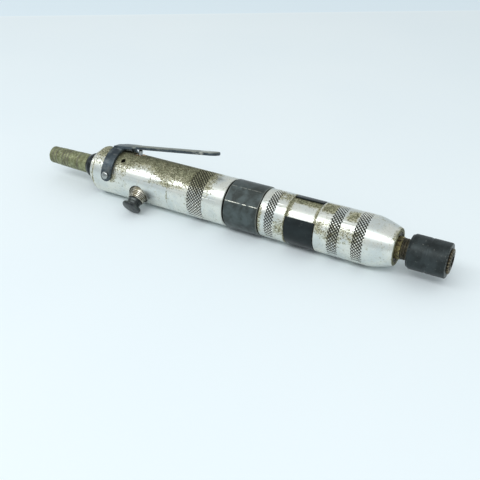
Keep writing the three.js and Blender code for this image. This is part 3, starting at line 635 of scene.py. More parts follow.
def chuck_wear(f):
    """Small faint nicks, and brighter rubbing on the sleeve's front face."""
    nicks = f.blotches(0.68, 0.72, 1.1, 2, 0.5)
    face = f.ramp(f.station, SLEEVE_FRONT - 0.5, SLEEVE_FRONT - 0.1)
    return f.most(f.times(nicks, 0.14), f.times(face, f.blotches(0.46, 0.66, 1.0, 3, 0.6), 0.26))


def edge_wear(strength, size=2.0):
    return lambda f: f.times(f.blotches(0.6, 0.78, size, 3, 0.6), strength)


def tarnished(name, base, dark, bright, size=3.0, dirt=DIRT):
    """Old metal: blotches of a dark tone, small bright spots, and dirt in its grooves."""
    f = Finish(name)
    blotch = f.blotches(0.36, 0.66, size, 4, 0.65, warp=0.6)
    spots = f.blotches(0.56, 0.72, size / 2.5, 3, 0.6)
    colour = f.mix(blotch, dark, base)
    colour = f.mix(f.times(spots, 0.6), colour, bright)
    grime = f.most(f.blotches(0.6, 0.72, size * 1.2, 3, 0.7), f.groove())
    colour = f.mix(f.times(grime, 0.7), colour, dirt)
    rough = f.plus(0.45, f.times(spots, -0.08), f.times(grime, 0.2))
    metal = f.ramp(grime, 0, 1, 0.6, 0.2)
    height = f.plus(f.times(spots, 0.5), f.times(f.noise(0.7, 3), 0.4))
    return f.finish(colour, rough, metal, height, 0.08)


def nickel(name):
    """Bright worn nickel with brown dirt and painted shade in its turned rings."""
    f = Finish(name)
    film = f.blotches(0.42, 0.6, 3.5, 3, 0.6)
    colour = f.mix(film, srgb(208, 205, 192), srgb(126, 120, 100))
    # dirt: dirt and painted shade in the ring grooves, with spots of dirt elsewhere.
    dirt = f.most(f.groove(), f.blotches(0.68, 0.76, 1.1, 3, 0.6))
    colour = f.mix(f.times(dirt, 0.9), colour, srgb(62, 54, 36))
    rough = f.plus(0.18, f.times(film, 0.14), f.times(dirt, 0.4))
    return f.finish(colour, rough, f.ramp(dirt, 0, 1, 1, 0.2), f.noise(0.5, 3), 0.05)


def machined(name, colour, rough, metal=1.0, streak=(1, 0.05, 0.05)):
    """A plain working surface: fine tool marks and a thin uneven film of oil."""
    f = Finish(name)
    marks = f.noise(0.4, 2, 0.6, f.stretched(*streak))
    oil = f.blotches(0.42, 0.66, 4, 3, 0.6)
    dark = tuple(c * 0.55 for c in colour[:3]) + (1.0,)
    tint = f.mix(f.times(oil, 0.6), colour, dark)
    gloss = f.plus(rough, f.times(marks, 0.12), f.times(oil, -0.08))
    return f.finish(tint, gloss, metal, marks, 0.02)


ALL_WAYS = (1, 1, 1)
FINISHES = {
    # The handle's plating gets painted shade inside its holes below this radius.
    "handle_plate": (plated, handle_stain, HANDLE_R - 0.6),
    "clutch_plate": (plated, clutch_stain),
    "nose_plate": (plated, nose_stain),
    "bright_ring": (plated, ring_stain),
    "blued_steel": (blued, srgb(64, 69, 67), srgb(94, 104, 104), case_wear_and_highlight, 0.32, 0.7),
    "lever_steel": (blued, srgb(56, 64, 70), srgb(88, 99, 104), lever_wear, 0.34, 0.6, lever_film),
    "black_steel": (blued, srgb(38, 44, 45), srgb(50, 57, 58), edge_wear(0.04), 0.3, 0.4),
    "chuck_steel": (blued, srgb(42, 47, 47), srgb(66, 73, 74), chuck_wear, 0.42, 0.7),
    "oily_brown": (tarnished, srgb(74, 68, 50), srgb(34, 32, 24), srgb(128, 124, 98), 1.3),
    "chuck_collar": (tarnished, srgb(134, 124, 98), srgb(70, 61, 45), srgb(206, 200, 178), 1.1, SOOT_AND_SHADE),
    "button_steel": (blued, srgb(42, 45, 46), srgb(80, 85, 83), edge_wear(0.6, 1.2), 0.26, 0.9),
    "boss_nickel": (nickel,),
    "fitting_brass": (tarnished, srgb(146, 150, 114), srgb(104, 106, 74), srgb(182, 188, 158)),
    "neck_brass": (tarnished, srgb(156, 148, 98), srgb(66, 54, 34), srgb(206, 200, 156), 2.6),
    "screw_steel": (machined, srgb(176, 180, 178), 0.2),
    "bearing_steel": (machined, srgb(206, 210, 212), 0.16),
    "gear_steel": (machined, srgb(176, 180, 182), 0.28),
    "motor_iron": (machined, srgb(108, 110, 112), 0.42),
    "spring_steel": (machined, srgb(132, 134, 136), 0.3, 1.0, (0.4, 0.4, 0.4)),
    "bronze": (machined, srgb(184, 150, 96), 0.34),
    "mesh_steel": (machined, srgb(180, 184, 186), 0.4, 1.0, ALL_WAYS),
    "vane_phenolic": (machined, srgb(120, 88, 58), 0.55, 0.0, (0.3, 2, 2)),
    "seal_rubber": (machined, srgb(40, 40, 40), 0.6, 0.0, ALL_WAYS),
}
MATERIALS = {name: finish(name, *rest) for name, (finish, *rest) in FINISHES.items()}


def dress(piece, body, material, *nodes, slot=None):
    """Gives a piece its finish and its body, and hides the CAD nodes it stands for."""
    piece.data.materials.clear()
    piece.data.materials.append(MATERIALS[material])
    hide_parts(*nodes)
    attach(piece, body)
    return piece


# ---- inlet --------------------------------------------------------------------------------------
def worn_fitting():
    """The hose fitting: a slow taper with flattened barbs, a bore, and small dents all over."""
    tip_r, root_r, bore_r = 6.2, 7.1, 3.4
    body_end = BUSHING_REAR - 0.3
    outline = [(FITTING_REAR, bore_r), (FITTING_REAR, tip_r), (body_end, root_r)]
    outline += [(body_end, root_r - 0.3), (FITTING_FRONT, root_r - 0.3), (FITTING_FRONT, bore_r)]
    outline = divide(soften(outline, 0.5), 0.3, FITTING_REAR, body_end, 5.5)
    ridges = (3.4, 6.4, 12.6, 15.2, 17.6, 27)

    def relief(h, r, angles):
        outside = (r > 5.6) & (h < body_end - 0.2)
        groove = np.zeros(h.shape)
        for ridge in ridges:
            groove = np.maximum(groove, np.exp(-(((h - FITTING_REAR - ridge) / 0.55) ** 2)))
        dents = np.array(
            [
                noise.noise(Vector((cos(a) * 2.5, sin(a) * 2.5, s * 0.4)))
                for s, a in zip(h.ravel(), angles.ravel())
            ]
        ).reshape(h.shape)
        groove = np.where(outside, groove, 0)
        return -0.38 * groove + np.where(outside, 0.16 * dents, 0), groove * 0.8

    piece = turned("hose_fitting", outline, on_axis(), 96, relief)
    return dress(piece, "root", "fitting_brass", "inlet_fitting")


def inlet_bushing():
    flare, thread = 9.0, 8.3
    flange = RING_REAR + 0.7
    outline = [
        (BUSHING_REAR, 6.95), (BUSHING_REAR, 7.5), (BUSHING_REAR + 3, flare), (flange, flare),
        (flange, thread), (BUSHING_FRONT, thread), (BUSHING_FRONT, 4.4),
        (FITTING_FRONT + 0.3, 4.4), (FITTING_FRONT + 0.3, 7.1),
    ]
    piece = turned("threaded_bushing", soften(outline, 0.25), on_axis())
    return dress(piece, "root", "black_steel", "inlet_bushing")


def exhaust_ring():
    rear, outer = RING_REAR + 2, 12.5
    outline = [
        (rear, 9.4), (rear, outer - 0.6), (rear + 0.6, outer), (RING_FRONT, outer),
        (RING_FRONT, outer - 0.6), (rear + 2, outer - 0.6), (rear + 2, 9.4),
    ]
    piece = turned("exhaust_collar", soften(outline, 0.15), on_axis())
    return dress(piece, "root", "bright_ring", "exhaust_ring")


# ---- handle -------------------------------------------------------------------------------------
def handle():
    """The grip: a plated tube with one knurled band, a lip at the rear and its drilled holes."""
    valve_block = -57
    outline = [
        (HANDLE_REAR, 12.9), (HANDLE_REAR, HANDLE_R - 0.5), (HANDLE_REAR + 0.5, HANDLE_R),
        (HANDLE_FRONT - 0.6, HANDLE_R), (HANDLE_FRONT, HANDLE_R - 0.6), (HANDLE_FRONT, BORE_R),
        (valve_block, BORE_R), (valve_block, 3), (THROTTLE, 3), (THROTTLE, 4.2), (HANDLE_REAR + 11, 4.2),
        (HANDLE_REAR + 11, 8.6), (HANDLE_REAR + 2.5, 8.6), (HANDLE_REAR + 2.5, 12.9),
    ]
    outline = knurl_rows(soften(outline, 0.3), [HANDLE_KNURL], 14)
    shell = turned("handle_shell", outline, on_axis(), ROUND, knurled([HANDLE_KNURL], 14))
    beyond = HANDLE_R + 2
    lock = outward(LOCK_HOLE["station"], LOCK_HOLE["angle"])
    cutters = [
        cylinder("cut", -8.5, beyond, 4.5, outward(THROTTLE, LEVER_ANGLE)),
        cylinder("cut", -9.2, beyond, 5.6, reversing_valve()),
        cylinder("cut", BOSS_FLOOR, beyond, BOSS_R + 0.5, reversing_valve(), 64),
        cylinder("cut", 12.4, beyond, LOCK_HOLE["radius"], lock, 40),
    ]
    for side in (90, -90):
        cutters.append(cylinder("cut", 9.8, beyond, 2.1, outward(PIVOT, LEVER_ANGLE + side)))
    combine(shell, "DIFFERENCE", cutters)
    return dress(shell, "root", "handle_plate", "handle_housing")


# ---- throttle -----------------------------------------------------------------------------------
LEVER_SLOPE = 7.8
LEVER_THICKNESS = 2.0
YOKE_LENGTH = 8.4
YOKE_INSIDE = (16.8, 17.6)  # half its width, and its height over the tool's axis
YOKE_OUTSIDE = (18.8, 19.8)
YOKE_MEAN_R = 17.8
STRIP_ROOT_HALF = 8  # half the strip's width at the yoke, and past its neck
STRIP_HALF = 5
STRIP_NECK = 11  # the length over which it narrows
STRIP_FOOT = 17.35  # its underside's height at its rear end
WEB_LENGTH = 15
LEVER_TIP = span("throttle_lever")[1]


def lever_yoke(where):
    """The strap over the handle: wider at the pivots' lobes, which end in half circles."""
    half = YOKE_LENGTH / 2
    lobe = degrees(half / YOKE_MEAN_R)
    rings = (YOKE_INSIDE, YOKE_INSIDE, YOKE_OUTSIDE, YOKE_OUTSIDE)
    loops = []
    for angle in np.linspace(-90 - lobe, 90 + lobe, 121):
        past = max(0, abs(angle) - 90) / lobe
        reach = half * sqrt(max(1 - past**2, 0.02))
        up, across = cos(radians(angle)), sin(radians(angle))
        corners = []
        for x, (side, top) in zip((-reach, reach, reach, -reach), rings):
            corners.append((PIVOT + x, side * across, top * up))
        loops.append(corners)
    return loft("yoke", loops, where)


def lever_strip(where):
    """The thumb strip: broad at the yoke, then parallel, with a round tip and a crowned top."""
    slope = radians(LEVER_SLOPE)
    rear = PIVOT - YOKE_LENGTH / 2
    length = (LEVER_TIP - rear) / cos(slope) + 0.3
    loops = []
    for share in np.linspace(0, 1, 141):
        along = 1.2 + (length - 1.2) * share
        neck = np.clip((along - YOKE_LENGTH) / STRIP_NECK, 0, 1)
        half = STRIP_ROOT_HALF + (STRIP_HALF - STRIP_ROOT_HALF) * (3 * neck**2 - 2 * neck**3)
        tip = (along - (length - STRIP_HALF)) / STRIP_HALF
        if tip > 0:
            half = STRIP_HALF * sqrt(max(1 - tip**2, 0.01))
        section = []
        for t in np.linspace(-1, 1, 9):
            section.append((half * t, LEVER_THICKNESS + 0.25 * (1 - t * t)))
        section += [(half * t, 0.0) for t in np.linspace(1, -1, 9)]
        x0, z0 = rear + along * cos(slope), STRIP_FOOT + along * sin(slope)
        loops.append([(x0 - h * sin(slope), y, z0 + h * cos(slope)) for y, h in section])
    return loft("strip", loops, where)


def lever_webs(where):
    """The flanges that stiffen the strip between the yoke and the valve."""
    webs = []
    for side in (-7.0, 7.0):
        loops = []
        for share in np.linspace(0, 1, 25):
            x = PIVOT - 1.2 + WEB_LENGTH * share
            top = 18.4 + (x - PIVOT + YOKE_LENGTH / 2) * tan(radians(LEVER_SLOPE))
            low = top - 2.6 * (1 - share) ** 0.8 - 0.4
            y = side * (1 - 0.3 * share)
            loops.append([(x, y - 0.8, low), (x, y + 0.8, low), (x, y + 0.8, top), (x, y - 0.8, top)])
        webs.append(loft("web", loops, where))
    return webs


def throttle_lever():
    """Yoke, strip and webs fused into one stamped piece with rounded edges."""
    where = outward(0, LEVER_ANGLE)
    parts = [lever_yoke(where), lever_strip(where), *lever_webs(where)]
    lever = parts[0]
    with bpy.context.temp_override(active_object=lever, selected_editable_objects=parts):
        bpy.ops.object.join()
    lever.name = "lever_stamping"
    remesh = lever.modifiers.new("remesh", "REMESH")
    remesh.mode = "VOXEL"
    remesh.voxel_size = 0.32 * MM
    smooth = lever.modifiers.new("smooth", "SMOOTH")
    smooth.factor = 0.5
    smooth.iterations = 5
    apply_modifiers(lever)
    holes = [cylinder("cut", -25, 25, 2.15, outward(PIVOT, LEVER_ANGLE + 90))]
    combine(lever, "DIFFERENCE", holes)
    return dress(lever, "lever", "lever_steel", "throttle_lever")


def pivot_screws():
    outline = [(10.2, 0), (10.2, 1.8), (19.15, 1.8), (19.15, 2.5), (19.6, 2.6)]
    outline += [(20.0, 2.35), (20.35, 1.7), (20.55, 0.9), (20.6, 0)]
    for name, side in (("near", 90), ("far", -90)):
        screw = turned("pivot_screw_" + name, outline, outward(PIVOT, LEVER_ANGLE + side), 48)
        slot = box_cutter((-3, -0.35, 20.1), (3, 0.35, 21.5), outward(PIVOT, LEVER_ANGLE + side))
        combine(screw, "DIFFERENCE", [slot])
        dress(screw, "root", "screw_steel", "lever_pivot_screw_" + name)


def box_cutter(low, high, where):
    corners = [(low[0], low[1]), (high[0], low[1]), (high[0], high[1]), (low[0], high[1])]
    return prism("cut", corners, low[2], high[2], where)


def throttle_stem():
    outline = [(-0.2, 0), (-0.2, 1.8), (1.8, 1.8), (1.8, 3.4), (4.4, 3.4), (5, 2.8), (5, 1.5)]
    outline += [(18.6, 1.5), (19.1, 1.3), (19.45, 0.8), (19.6, 0)]
    stem = turned("valve_stem", outline, outward(THROTTLE, LEVER_ANGLE), 40)
    return dress(stem, "throttle_valve", "screw_steel", "throttle_valve_stem")


# ---- reversing button ---------------------------------------------------------------------------
def reversing_boss():
    """A tapered boss with turned rings, screwed into the handle."""
    mouth, mouth_r, floor, bore = 19.8, 5.6, -8.8, 4.2
    taper = 14.2
    slope = (BOSS_R - mouth_r) / (mouth - taper)
    outline = [(floor, 0), (floor, 5.3), (BOSS_FLOOR + 0.3, 5.3), (BOSS_FLOOR + 0.3, BOSS_R)]
    outline.append((taper, BOSS_R))
    for ring in (15.4, 16.5, 17.6, 18.7):
        side = BOSS_R - slope * (ring - taper)
        outline += [(ring, side), (ring + 0.16, side - 0.5), (ring + 0.46, side - 0.52)]
        outline += [(ring + 0.62, side - 0.14)]
    outline += [(mouth - 0.2, mouth_r), (mouth, mouth_r - 0.15), (mouth, 5.2), (16.5, 5.2)]
    outline += [(16.5, bore), (floor + 1.1, bore), (floor + 1.1, 0)]

    def relief(h, r, angles):
        deep = (h > taper) & (h < mouth - 0.3) & (r < BOSS_R - slope * (h - taper) - 0.3) & (r > 5.25)
        return np.zeros(h.shape), deep * 1.0

    where = reversing_valve()
    boss = turned("reversing_boss", outline, where, 96, relief)
    turn = Matrix.Rotation(radians(90), 4, "Y")
    combine(boss, "DIFFERENCE", [cylinder("cut", -8, 8, 1.8, where @ turn)])
    return dress(boss, "root", "boss_nickel", "reverse_bushing")


def reversing_button():
    """The spool, its flared skirt and the thin round head that the finger pushes."""
    spool = 3.9
    outline = [(2.5, 0), (2.5, spool), (5.5, spool), (6, 2.4), (9.5, 2.4), (10, spool)]
    outline += [(11.2, spool), (11.2, 2.9), (12.8, 2.9), (12.8, spool), (20.1, spool)]
    outline += [(20.1, 4.85), (20.2, 4.95), (20.7, 4.95), (20.8, 4.8), (22, 4.5), (22.2, 4.62)]
    outline += [(22.5, 4.6), (22.7, 4.35), (24, 4.1), (24.35, 4.3), (24.55, 5.2), (24.7, 6.25)]
    outline += [(24.9, 6.6), (25.25, 6.75), (25.8, 6.72), (26.25, 6.5), (26.55, 6.1), (26.7, 5.4)]
    outline += [(26.72, 4.2), (26.85, 2), (26.9, 0)]
    button = turned("mushroom_button", outline, reversing_valve(), 72)
    return dress(button, "reverse_plunger", "button_steel", "reverse_button")


# ---- gear case ----------------------------------------------------------------------------------
RING_TEETH = 42
RING_TIP_R = 10.075
RING_ROOT_R = 11.125
RING_GAP = (0.0307, 0.065)  # half angles of a tooth gap at its bottom and its mouth


def ring_gear_turn():
    """The angle of the middle of a gap between the ring gear's teeth."""
    node = frame["nodes"]["gear_case"]
    turns = []
    for vertex in node.data.vertices:
        point = node.matrix_world @ vertex.co
        up, towards = (point.z - AXIS_Z) / MM, (AXIS_Y - point.y) / MM
        if abs(hypot(up, towards) - RING_ROOT_R) < 0.05:
            turns.append(RING_TEETH * atan2(towards, up))
    return atan2(sum(map(sin, turns)), sum(map(cos, turns))) / RING_TEETH


def gear_case():
    """The dark case: round, with two wrench flats milled along it and the ring gear inside."""
    chamfer, spigot_r, bore_r = 0.5, 13.3, 11.4
    teeth_rear, teeth_front = 2, span("planet_gear_1")[1] + 0.4
    outline = [
        (CASE_REAR - GEAR_SPIGOT, bore_r), (CASE_REAR - GEAR_SPIGOT, spigot_r),
        (CASE_REAR, spigot_r), (CASE_REAR, CASE_R - chamfer), (CASE_REAR + chamfer, CASE_R),
        (CASE_FRONT - chamfer, CASE_R), (CASE_FRONT, CASE_R - chamfer), (CASE_FRONT, spigot_r),
        (CASE_FRONT + FRONT_SPIGOT, spigot_r), (CASE_FRONT + FRONT_SPIGOT, bore_r),
        (teeth_front, bore_r), (teeth_front, RING_TIP_R), (teeth_rear, RING_TIP_R),
        (teeth_rear, bore_r),
    ]
    pitch = 2 * pi / RING_TEETH
    gap_turn = ring_gear_turn()

    def relief(h, r, angles):
        change = np.zeros(h.shape)
        for turn in (FLAT_ANGLE, FLAT_ANGLE + 180):
            away = np.abs((angles - radians(turn) + np.pi) % (2 * np.pi) - np.pi)
            limit = FLAT_DISTANCE / np.maximum(np.cos(away), 0.2)
            change = np.minimum(change, np.where((away < 0.6) & (r > 14), limit - r, 0))
        from_gap = np.abs((angles - gap_turn + pitch / 2) % pitch - pitch / 2)
        open_share = np.clip((RING_GAP[1] - from_gap) / (RING_GAP[1] - RING_GAP[0]), 0, 1)
        teeth = np.where(r < RING_TIP_R + 0.1, (RING_ROOT_R - RING_TIP_R) * open_share, 0)
        return np.minimum(change, 0) + teeth, np.zeros(h.shape)

    case = turned("gear_case_body", soften(outline, 0.2), on_axis(), RING_TEETH * 18, relief)
    return dress(case, "root", "blued_steel", "gear_case")


# ---- clutch housing -----------------------------------------------------------------------------
def clutch_housing():
    groove_r = 14.7
    outline = [
        (CLUTCH_REAR, BORE_R), (CLUTCH_REAR, FRONT_R - 0.4), (CLUTCH_REAR + 0.5, FRONT_R),
        (BAND_REAR - 0.3, FRONT_R), (BAND_REAR - 0.3, groove_r), (NOSE_REAR - 0.3, groove_r),
        (NOSE_REAR - 0.3, 13.2), (CLUTCH_FRONT, 13.2), (CLUTCH_FRONT, 11.4),
        (CLUTCH_REAR + 7, 11.4), (CLUTCH_REAR + 7, BORE_R),
    ]
    outline = knurl_rows(soften(outline, 0.25), [CLUTCH_KNURL], 15)
    shell = turned("clutch_shell", outline, on_axis(), ROUND, knurled([CLUTCH_KNURL], 15))
    window = box_cutter((-4.5, -3.5, 10), (4.5, 3.5, 18), outward(*CLUTCH_WINDOW))
    combine(shell, "DIFFERENCE", [window])
    return dress(shell, "root", "clutch_plate", "clutch_housing", slot="front_plate")


def cover_band():
    bore_r = 15.0
    outline = [(BAND_REAR, bore_r), (BAND_REAR, FRONT_R), (BAND_FRONT, FRONT_R), (BAND_FRONT, bore_r)]
    band = swept_arc("split_band", soften(outline, 0.3), on_axis(), *BAND_ENDS, 240)
    return dress(band, "cover_band", "black_steel", "clutch_cover_band")


# ---- nose ---------------------------------------------------------------------------------------
def nose():
    """The plated nose: two knurled bands, then one convex sweep down to its tip."""
    taper = 96.5
    outline = [(NOSE_REAR, 13.5), (NOSE_REAR, FRONT_R - 0.3), (NOSE_REAR + 0.3, FRONT_R)]
    for share in np.linspace(0, 1, 25):
        station = taper + (NOSE_FRONT - 0.35 - taper) * share
        outline.append((station, FRONT_R - (FRONT_R - NOSE_TIP_R) * share**1.5))
    outline += [(NOSE_FRONT, NOSE_TIP_R - 0.4), (NOSE_FRONT, 9.4), (NOSE_FRONT - 6.4, 9.4)]
    outline += [(NOSE_FRONT - 6.4, 8.2), (102.4, 8.2), (102.4, 9.5), (NOSE_REAR + 8.2, 9.5)]
    outline += [(NOSE_REAR + 8.2, 13.5)]
    outline = knurl_rows(outline, NOSE_KNURLS, 15)
    shell = turned("nose_shell", outline, on_axis(), ROUND, knurled(NOSE_KNURLS, 15))
    return dress(shell, "root", "nose_plate", "nose_housing", slot="front_plate")


def nose_retainer():
    """The ring screwed into the end of the nose, just behind its lip."""
    outline = [
        (RETAINER_REAR, 7.2), (RETAINER_REAR, 9.1), (RETAINER_FRONT, 9.1),
        (RETAINER_FRONT, 8.5), (RETAINER_FRONT - 0.4, 8.3), (RETAINER_FRONT - 0.4, 7.2),
    ]
    ring = turned("retaining_ring", soften(outline, 0.15), on_axis())
    return dress(ring, "root", "oily_brown", "nose_retainer", slot="neck_brass")


def spindle():
    """The output shaft, with a hexagonal neck between the nose and the chuck."""
    rear, front = span("spindle")
    outline = [(rear, 0), (rear, 4), (102.8, 4), (102.8, 6.1), (CHUCK_REAR - 2, 6.1)]
    outline += [(CHUCK_REAR - 2, 4), (front, 4), (front, 0)]
    shaft = turned("output_shaft", outline, on_axis(), 96)
    neck = prism("neck", hexagon(12), CHUCK_REAR - 3.5, CHUCK_REAR - 0.3, on_axis())
    combine(shaft, "UNION", [neck])
    return dress(shaft, "output_spindle", "neck_brass", "spindle")


# ---- chuck --------------------------------------------------------------------------------------
def chuck_body():
    groove = span("chuck_snap_ring")
    deep = CHUCK_REAR + 8.3
    rings = [(0, 4.3), (0, 6.7), (0.9, 6.7), (1.1, 6.35), (1.5, 6.35), (1.7, 6.7)]
    rings += [(2.5, 6.7), (2.7, 6.4), (3.1, 6.4), (3.3, 6.7)]
    outline = [(CHUCK_REAR + h, r) for h, r in rings]
    outline += [
        (groove[0] - 0.3, 6.7), (groove[0] - 0.3, 5.9), (groove[1] + 0.3, 5.9),
        (groove[1] + 0.3, 6.7), (SLEEVE_FRONT, 6.7), (SLEEVE_FRONT, 5.2), (CHUCK_FRONT, 5.2),
        (CHUCK_FRONT, 0.5), (deep, 0.5), (deep, 4.3),
    ]
    body = turned("bit_holder", soften(outline, 0.2), on_axis(), 96)
    socket = prism("cut", hexagon(6.6), CHUCK_REAR + 9.8, CHUCK_FRONT + 1, on_axis())
    ball_hole = cylinder("cut", 2, 9, 2.05, outward(middle("chuck_ball"), 0))
    combine(body, "DIFFERENCE", [socket, ball_hole])
    return dress(body, "output_spindle", "oily_brown", "chuck_body", slot="chuck_steel")


def chuck_sleeve():
    """The sliding sleeve: a rear chamfer, a shallow groove at its middle, then fine turned ribs."""
    shoulder, land_r, bore_r = 131.5, 7.0, 9.7
    waist, recess = (130.4, 132.0), (138, 140.8)
    outline = [
        (SLEEVE_REAR + 0.4, bore_r), (SLEEVE_REAR, 9.9), (SLEEVE_REAR + 0.3, SLEEVE_R - 0.9),
        (SLEEVE_REAR + 1.7, SLEEVE_R), (waist[0], SLEEVE_R), (waist[0] + 0.3, SLEEVE_R - 0.2),
        (waist[1] - 0.3, SLEEVE_R - 0.2), (waist[1], SLEEVE_R), (SLEEVE_FRONT - 0.5, SLEEVE_R),
        (SLEEVE_FRONT, SLEEVE_R - 0.5), (SLEEVE_FRONT, land_r), (recess[1], land_r), (recess[1], 8.4),
        (recess[0], 8.4), (recess[0], land_r), (shoulder, land_r), (shoulder, bore_r),
    ]
    outline = divide(soften(outline, 0.3), 0.12, SLEEVE_REAR + 2, SLEEVE_FRONT - 0.8, 10.5)

    def relief(h, r, angles):
        ribbed = (r > 10.8) & (h > waist[1] + 0.4) & (h < SLEEVE_FRONT - 0.9)
        faint = (r > 10.8) & (h > SLEEVE_REAR + 2.2) & (h < waist[0] - 0.4)
        wave = 0.5 - 0.5 * np.cos(2 * np.pi * h / 1.1)
        return -0.16 * ribbed * wave - 0.05 * faint * wave, np.zeros(h.shape)

    sleeve = turned("sliding_sleeve", outline, on_axis(), SMOOTH_ROUND, relief)
    return dress(sleeve, "sleeve", "chuck_steel", "chuck_sleeve")


def front_collar():
    """The collar that keeps the sleeve on, notched round its edge."""
    rim, notches = 7.7, 24
    outline = [(COLLAR_REAR, 5.5), (COLLAR_REAR, rim), (COLLAR_FRONT - 0.3, rim)]
    outline += [(COLLAR_FRONT, rim - 0.3), (COLLAR_FRONT, 5.5)]
    outline = divide(soften(outline, 0.2), 0.15, COLLAR_REAR, COLLAR_FRONT, rim - 0.6)

    def relief(h, r, angles):
        notch = np.clip(np.cos(notches * angles) * 2 + 0.3, 0, 1) * (r > rim - 0.7)
        return -0.8 * notch, notch

    collar = turned("notched_collar", outline, on_axis(), notches * 14, relief)
    return dress(collar, "output_spindle", "chuck_collar", "chuck_front_collar")


# ---- coil springs -------------------------------------------------------------------------------
VALVE_SPRING = {"travel": 2.3, "mean_r": 2.6, "wire": 0.7, "turns": 5}
BUTTON_SPRING = {"travel": 3.5, "mean_r": 3.0, "wire": 0.8, "turns": 5}
SLEEVE_SPRING = {"travel": 3.1, "mean_r": 8.3, "wire": 1.0, "turns": 4}


def coil_spring(node, body, joint, where, low, high, travel, mean_r, wire, turns):
    """A wire coil along local z from low to high; its joint is not used."""
    steps, sides = turns * 36, 10
    start, end = low + wire / 2, high - wire / 2
    loops = []
    for share in np.linspace(0, 1, steps + 1):
        turn = 2 * pi * turns * share
        middle_z = start + (end - start) * share
        loop = []
        for side in range(sides):
            round_wire = 2 * pi * side / sides
            r = mean_r + wire / 2 * cos(round_wire)
            z = middle_z + wire / 2 * sin(round_wire)
            loop.append((r * cos(turn), r * sin(turn), z))
        loops.append(loop)
    spring = loft(node + "_coil", loops, where)
    dress(spring, body, "spring_steel", node)
    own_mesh(spring)


def springs():
    valve = outward(THROTTLE, LEVER_ANGLE)
    coil_spring("throttle_valve_spring", "root", "lever_press", valve, -8.2, 1.5, **VALVE_SPRING)
    button = reversing_valve()
    coil_spring("reverse_spring", "root", "reverse_press", button, -7.4, 2.2, **BUTTON_SPRING)
    chuck = on_axis(), *span("chuck_spring")
    coil_spring("chuck_spring", "output_spindle", "sleeve_slide", *chuck, **SLEEVE_SPRING)


# ---- CAD pieces that keep their shape -----------------------------------------------------------
def dress_cad_nodes():
    """Gives each CAD node that is still shown the material of its slot."""
    for entry in frame["record"]["subparts"]:
        node = frame["nodes"][entry["node"]]
        if node.hide_render:
            continue
        node.data.materials.clear()
        node.data.materials.append(MATERIALS[entry["material_slot"]])


# ---- stage --------------------------------------------------------------------------------------
CAMERA_OFFSET = (202.1, -354.6, 225.0)  # from the axis at station 0
CAMERA_HEADING = 29.2  # to the left of +Y
CAMERA_PITCH = 31.9  # below the horizon
FOCAL_LENGTH = 52.5
SENSOR = 36.0

FLOOR_HALF = 4.0  # metres
FLOOR_EDGE_NORMAL = (-0.53, 0.848, 0)  # the way to the board's far edge
FLOOR_EDGE = 560

WALL = (0.72, 0.80, 0.84, 1)
CEILING = (0.92, 0.97, 0.99, 1)
CEILING_START = 0.55  # where the walls' tone has turned into the ceiling's
ROOM_STRENGTH = 0.76

# The soft box, in metres and watts.
LAMP_PLACE = Vector((-0.16, -0.8, 1.1))
LAMP_TARGET = Vector((-0.16, 0, 0))
LAMP_SIZE = (2.3, 0.4)
LAMP_POWER = 10.0
LAMP_COLOUR = (0.96, 0.98, 1.0)


def add_camera():
    data = bpy.data.cameras.new("camera")
    data.lens = FOCAL_LENGTH
    data.sensor_width = SENSOR
    camera = add_object("camera", data)
    camera.location = axis_point(0) + Vector(CAMERA_OFFSET) * MM
    tilt = radians(90 - CAMERA_PITCH)
    camera.rotation_euler = (tilt, 0, radians(CAMERA_HEADING))
    bpy.context.scene.camera = camera


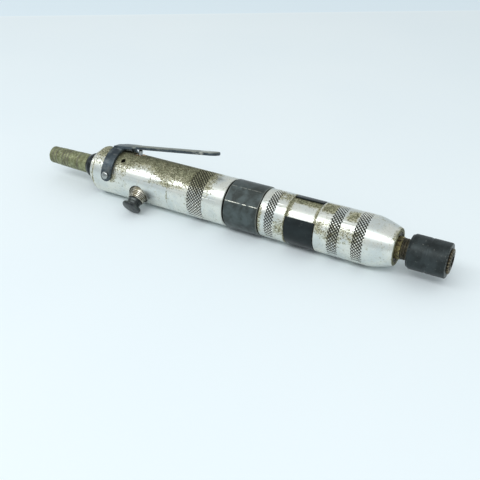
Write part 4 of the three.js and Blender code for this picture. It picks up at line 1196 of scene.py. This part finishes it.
def floor_material():
    """Pale matt board whose tone changes a little past its far edge."""
    f = Finish("floor")
    away = f.node("ShaderNodeVectorMath", {0: f.point, 1: FLOOR_EDGE_NORMAL}, operation="DOT_PRODUCT")
    past = f.math("SUBTRACT", away.outputs["Value"], FLOOR_EDGE)
    tone = f.mix(f.blotches(0.3, 0.7, 300, 2), srgb(238, 245, 247), srgb(235, 243, 246))
    colour = f.mix(f.ramp(past, -2, 6), tone, srgb(231, 243, 249))
    colour = f.mix(f.times(f.ramp(f.away(past, 0), 6, 0), 0.5), colour, srgb(244, 250, 252))
    return f.finish(colour, 0.85, 0.0)


def add_stage():
    """A pale floor that the tool lies on."""
    points = [(x * FLOOR_HALF, y * FLOOR_HALF, 0) for x, y in ((-1, -1), (1, -1), (1, 1), (-1, 1))]
    mesh = bpy.data.meshes.new("floor")
    mesh.from_pydata(points, [], [(0, 1, 2, 3)])
    floor = add_object("floor", mesh)
    mesh.materials.append(floor_material())


def add_room():
    """A white room, a little darker towards its walls."""
    world = bpy.data.worlds.new("studio")
    bpy.context.scene.world = world
    world.use_nodes = True
    nodes, links = world.node_tree.nodes, world.node_tree.links
    background = nodes["Background"]
    ramp = nodes.new("ShaderNodeValToRGB")
    axes = nodes.new("ShaderNodeSeparateXYZ")
    where = nodes.new("ShaderNodeTexCoord")
    links.new(where.outputs["Generated"], axes.inputs[0])
    links.new(axes.outputs["Z"], ramp.inputs[0])
    links.new(ramp.outputs[0], background.inputs["Color"])
    wall, ceiling = ramp.color_ramp.elements
    wall.position, wall.color = 0.0, WALL
    ceiling.position, ceiling.color = CEILING_START, CEILING
    background.inputs["Strength"].default_value = ROOM_STRENGTH
    bpy.context.scene.view_settings.view_transform = "Standard"


def add_lamp():
    """One soft box overhead, in front of the tool."""
    data = bpy.data.lights.new("overhead", "AREA")
    data.energy = LAMP_POWER
    data.color = LAMP_COLOUR
    data.shape = "RECTANGLE"
    data.size, data.size_y = LAMP_SIZE
    lamp = add_object("overhead", data)
    lamp.location = LAMP_PLACE
    lamp.rotation_euler = (LAMP_TARGET - LAMP_PLACE).to_track_quat("-Z", "Y").to_euler()


# ---- the scene ----------------------------------------------------------------------------------
add_camera()
worn_fitting()
inlet_bushing()
exhaust_ring()
handle()
throttle_lever()
pivot_screws()
throttle_stem()
reversing_boss()
reversing_button()
gear_case()
clutch_housing()
cover_band()
nose()
nose_retainer()
spindle()
chuck_body()
chuck_sleeve()
front_collar()
springs()
dress_cad_nodes()
add_stage()
add_room()
add_lamp()
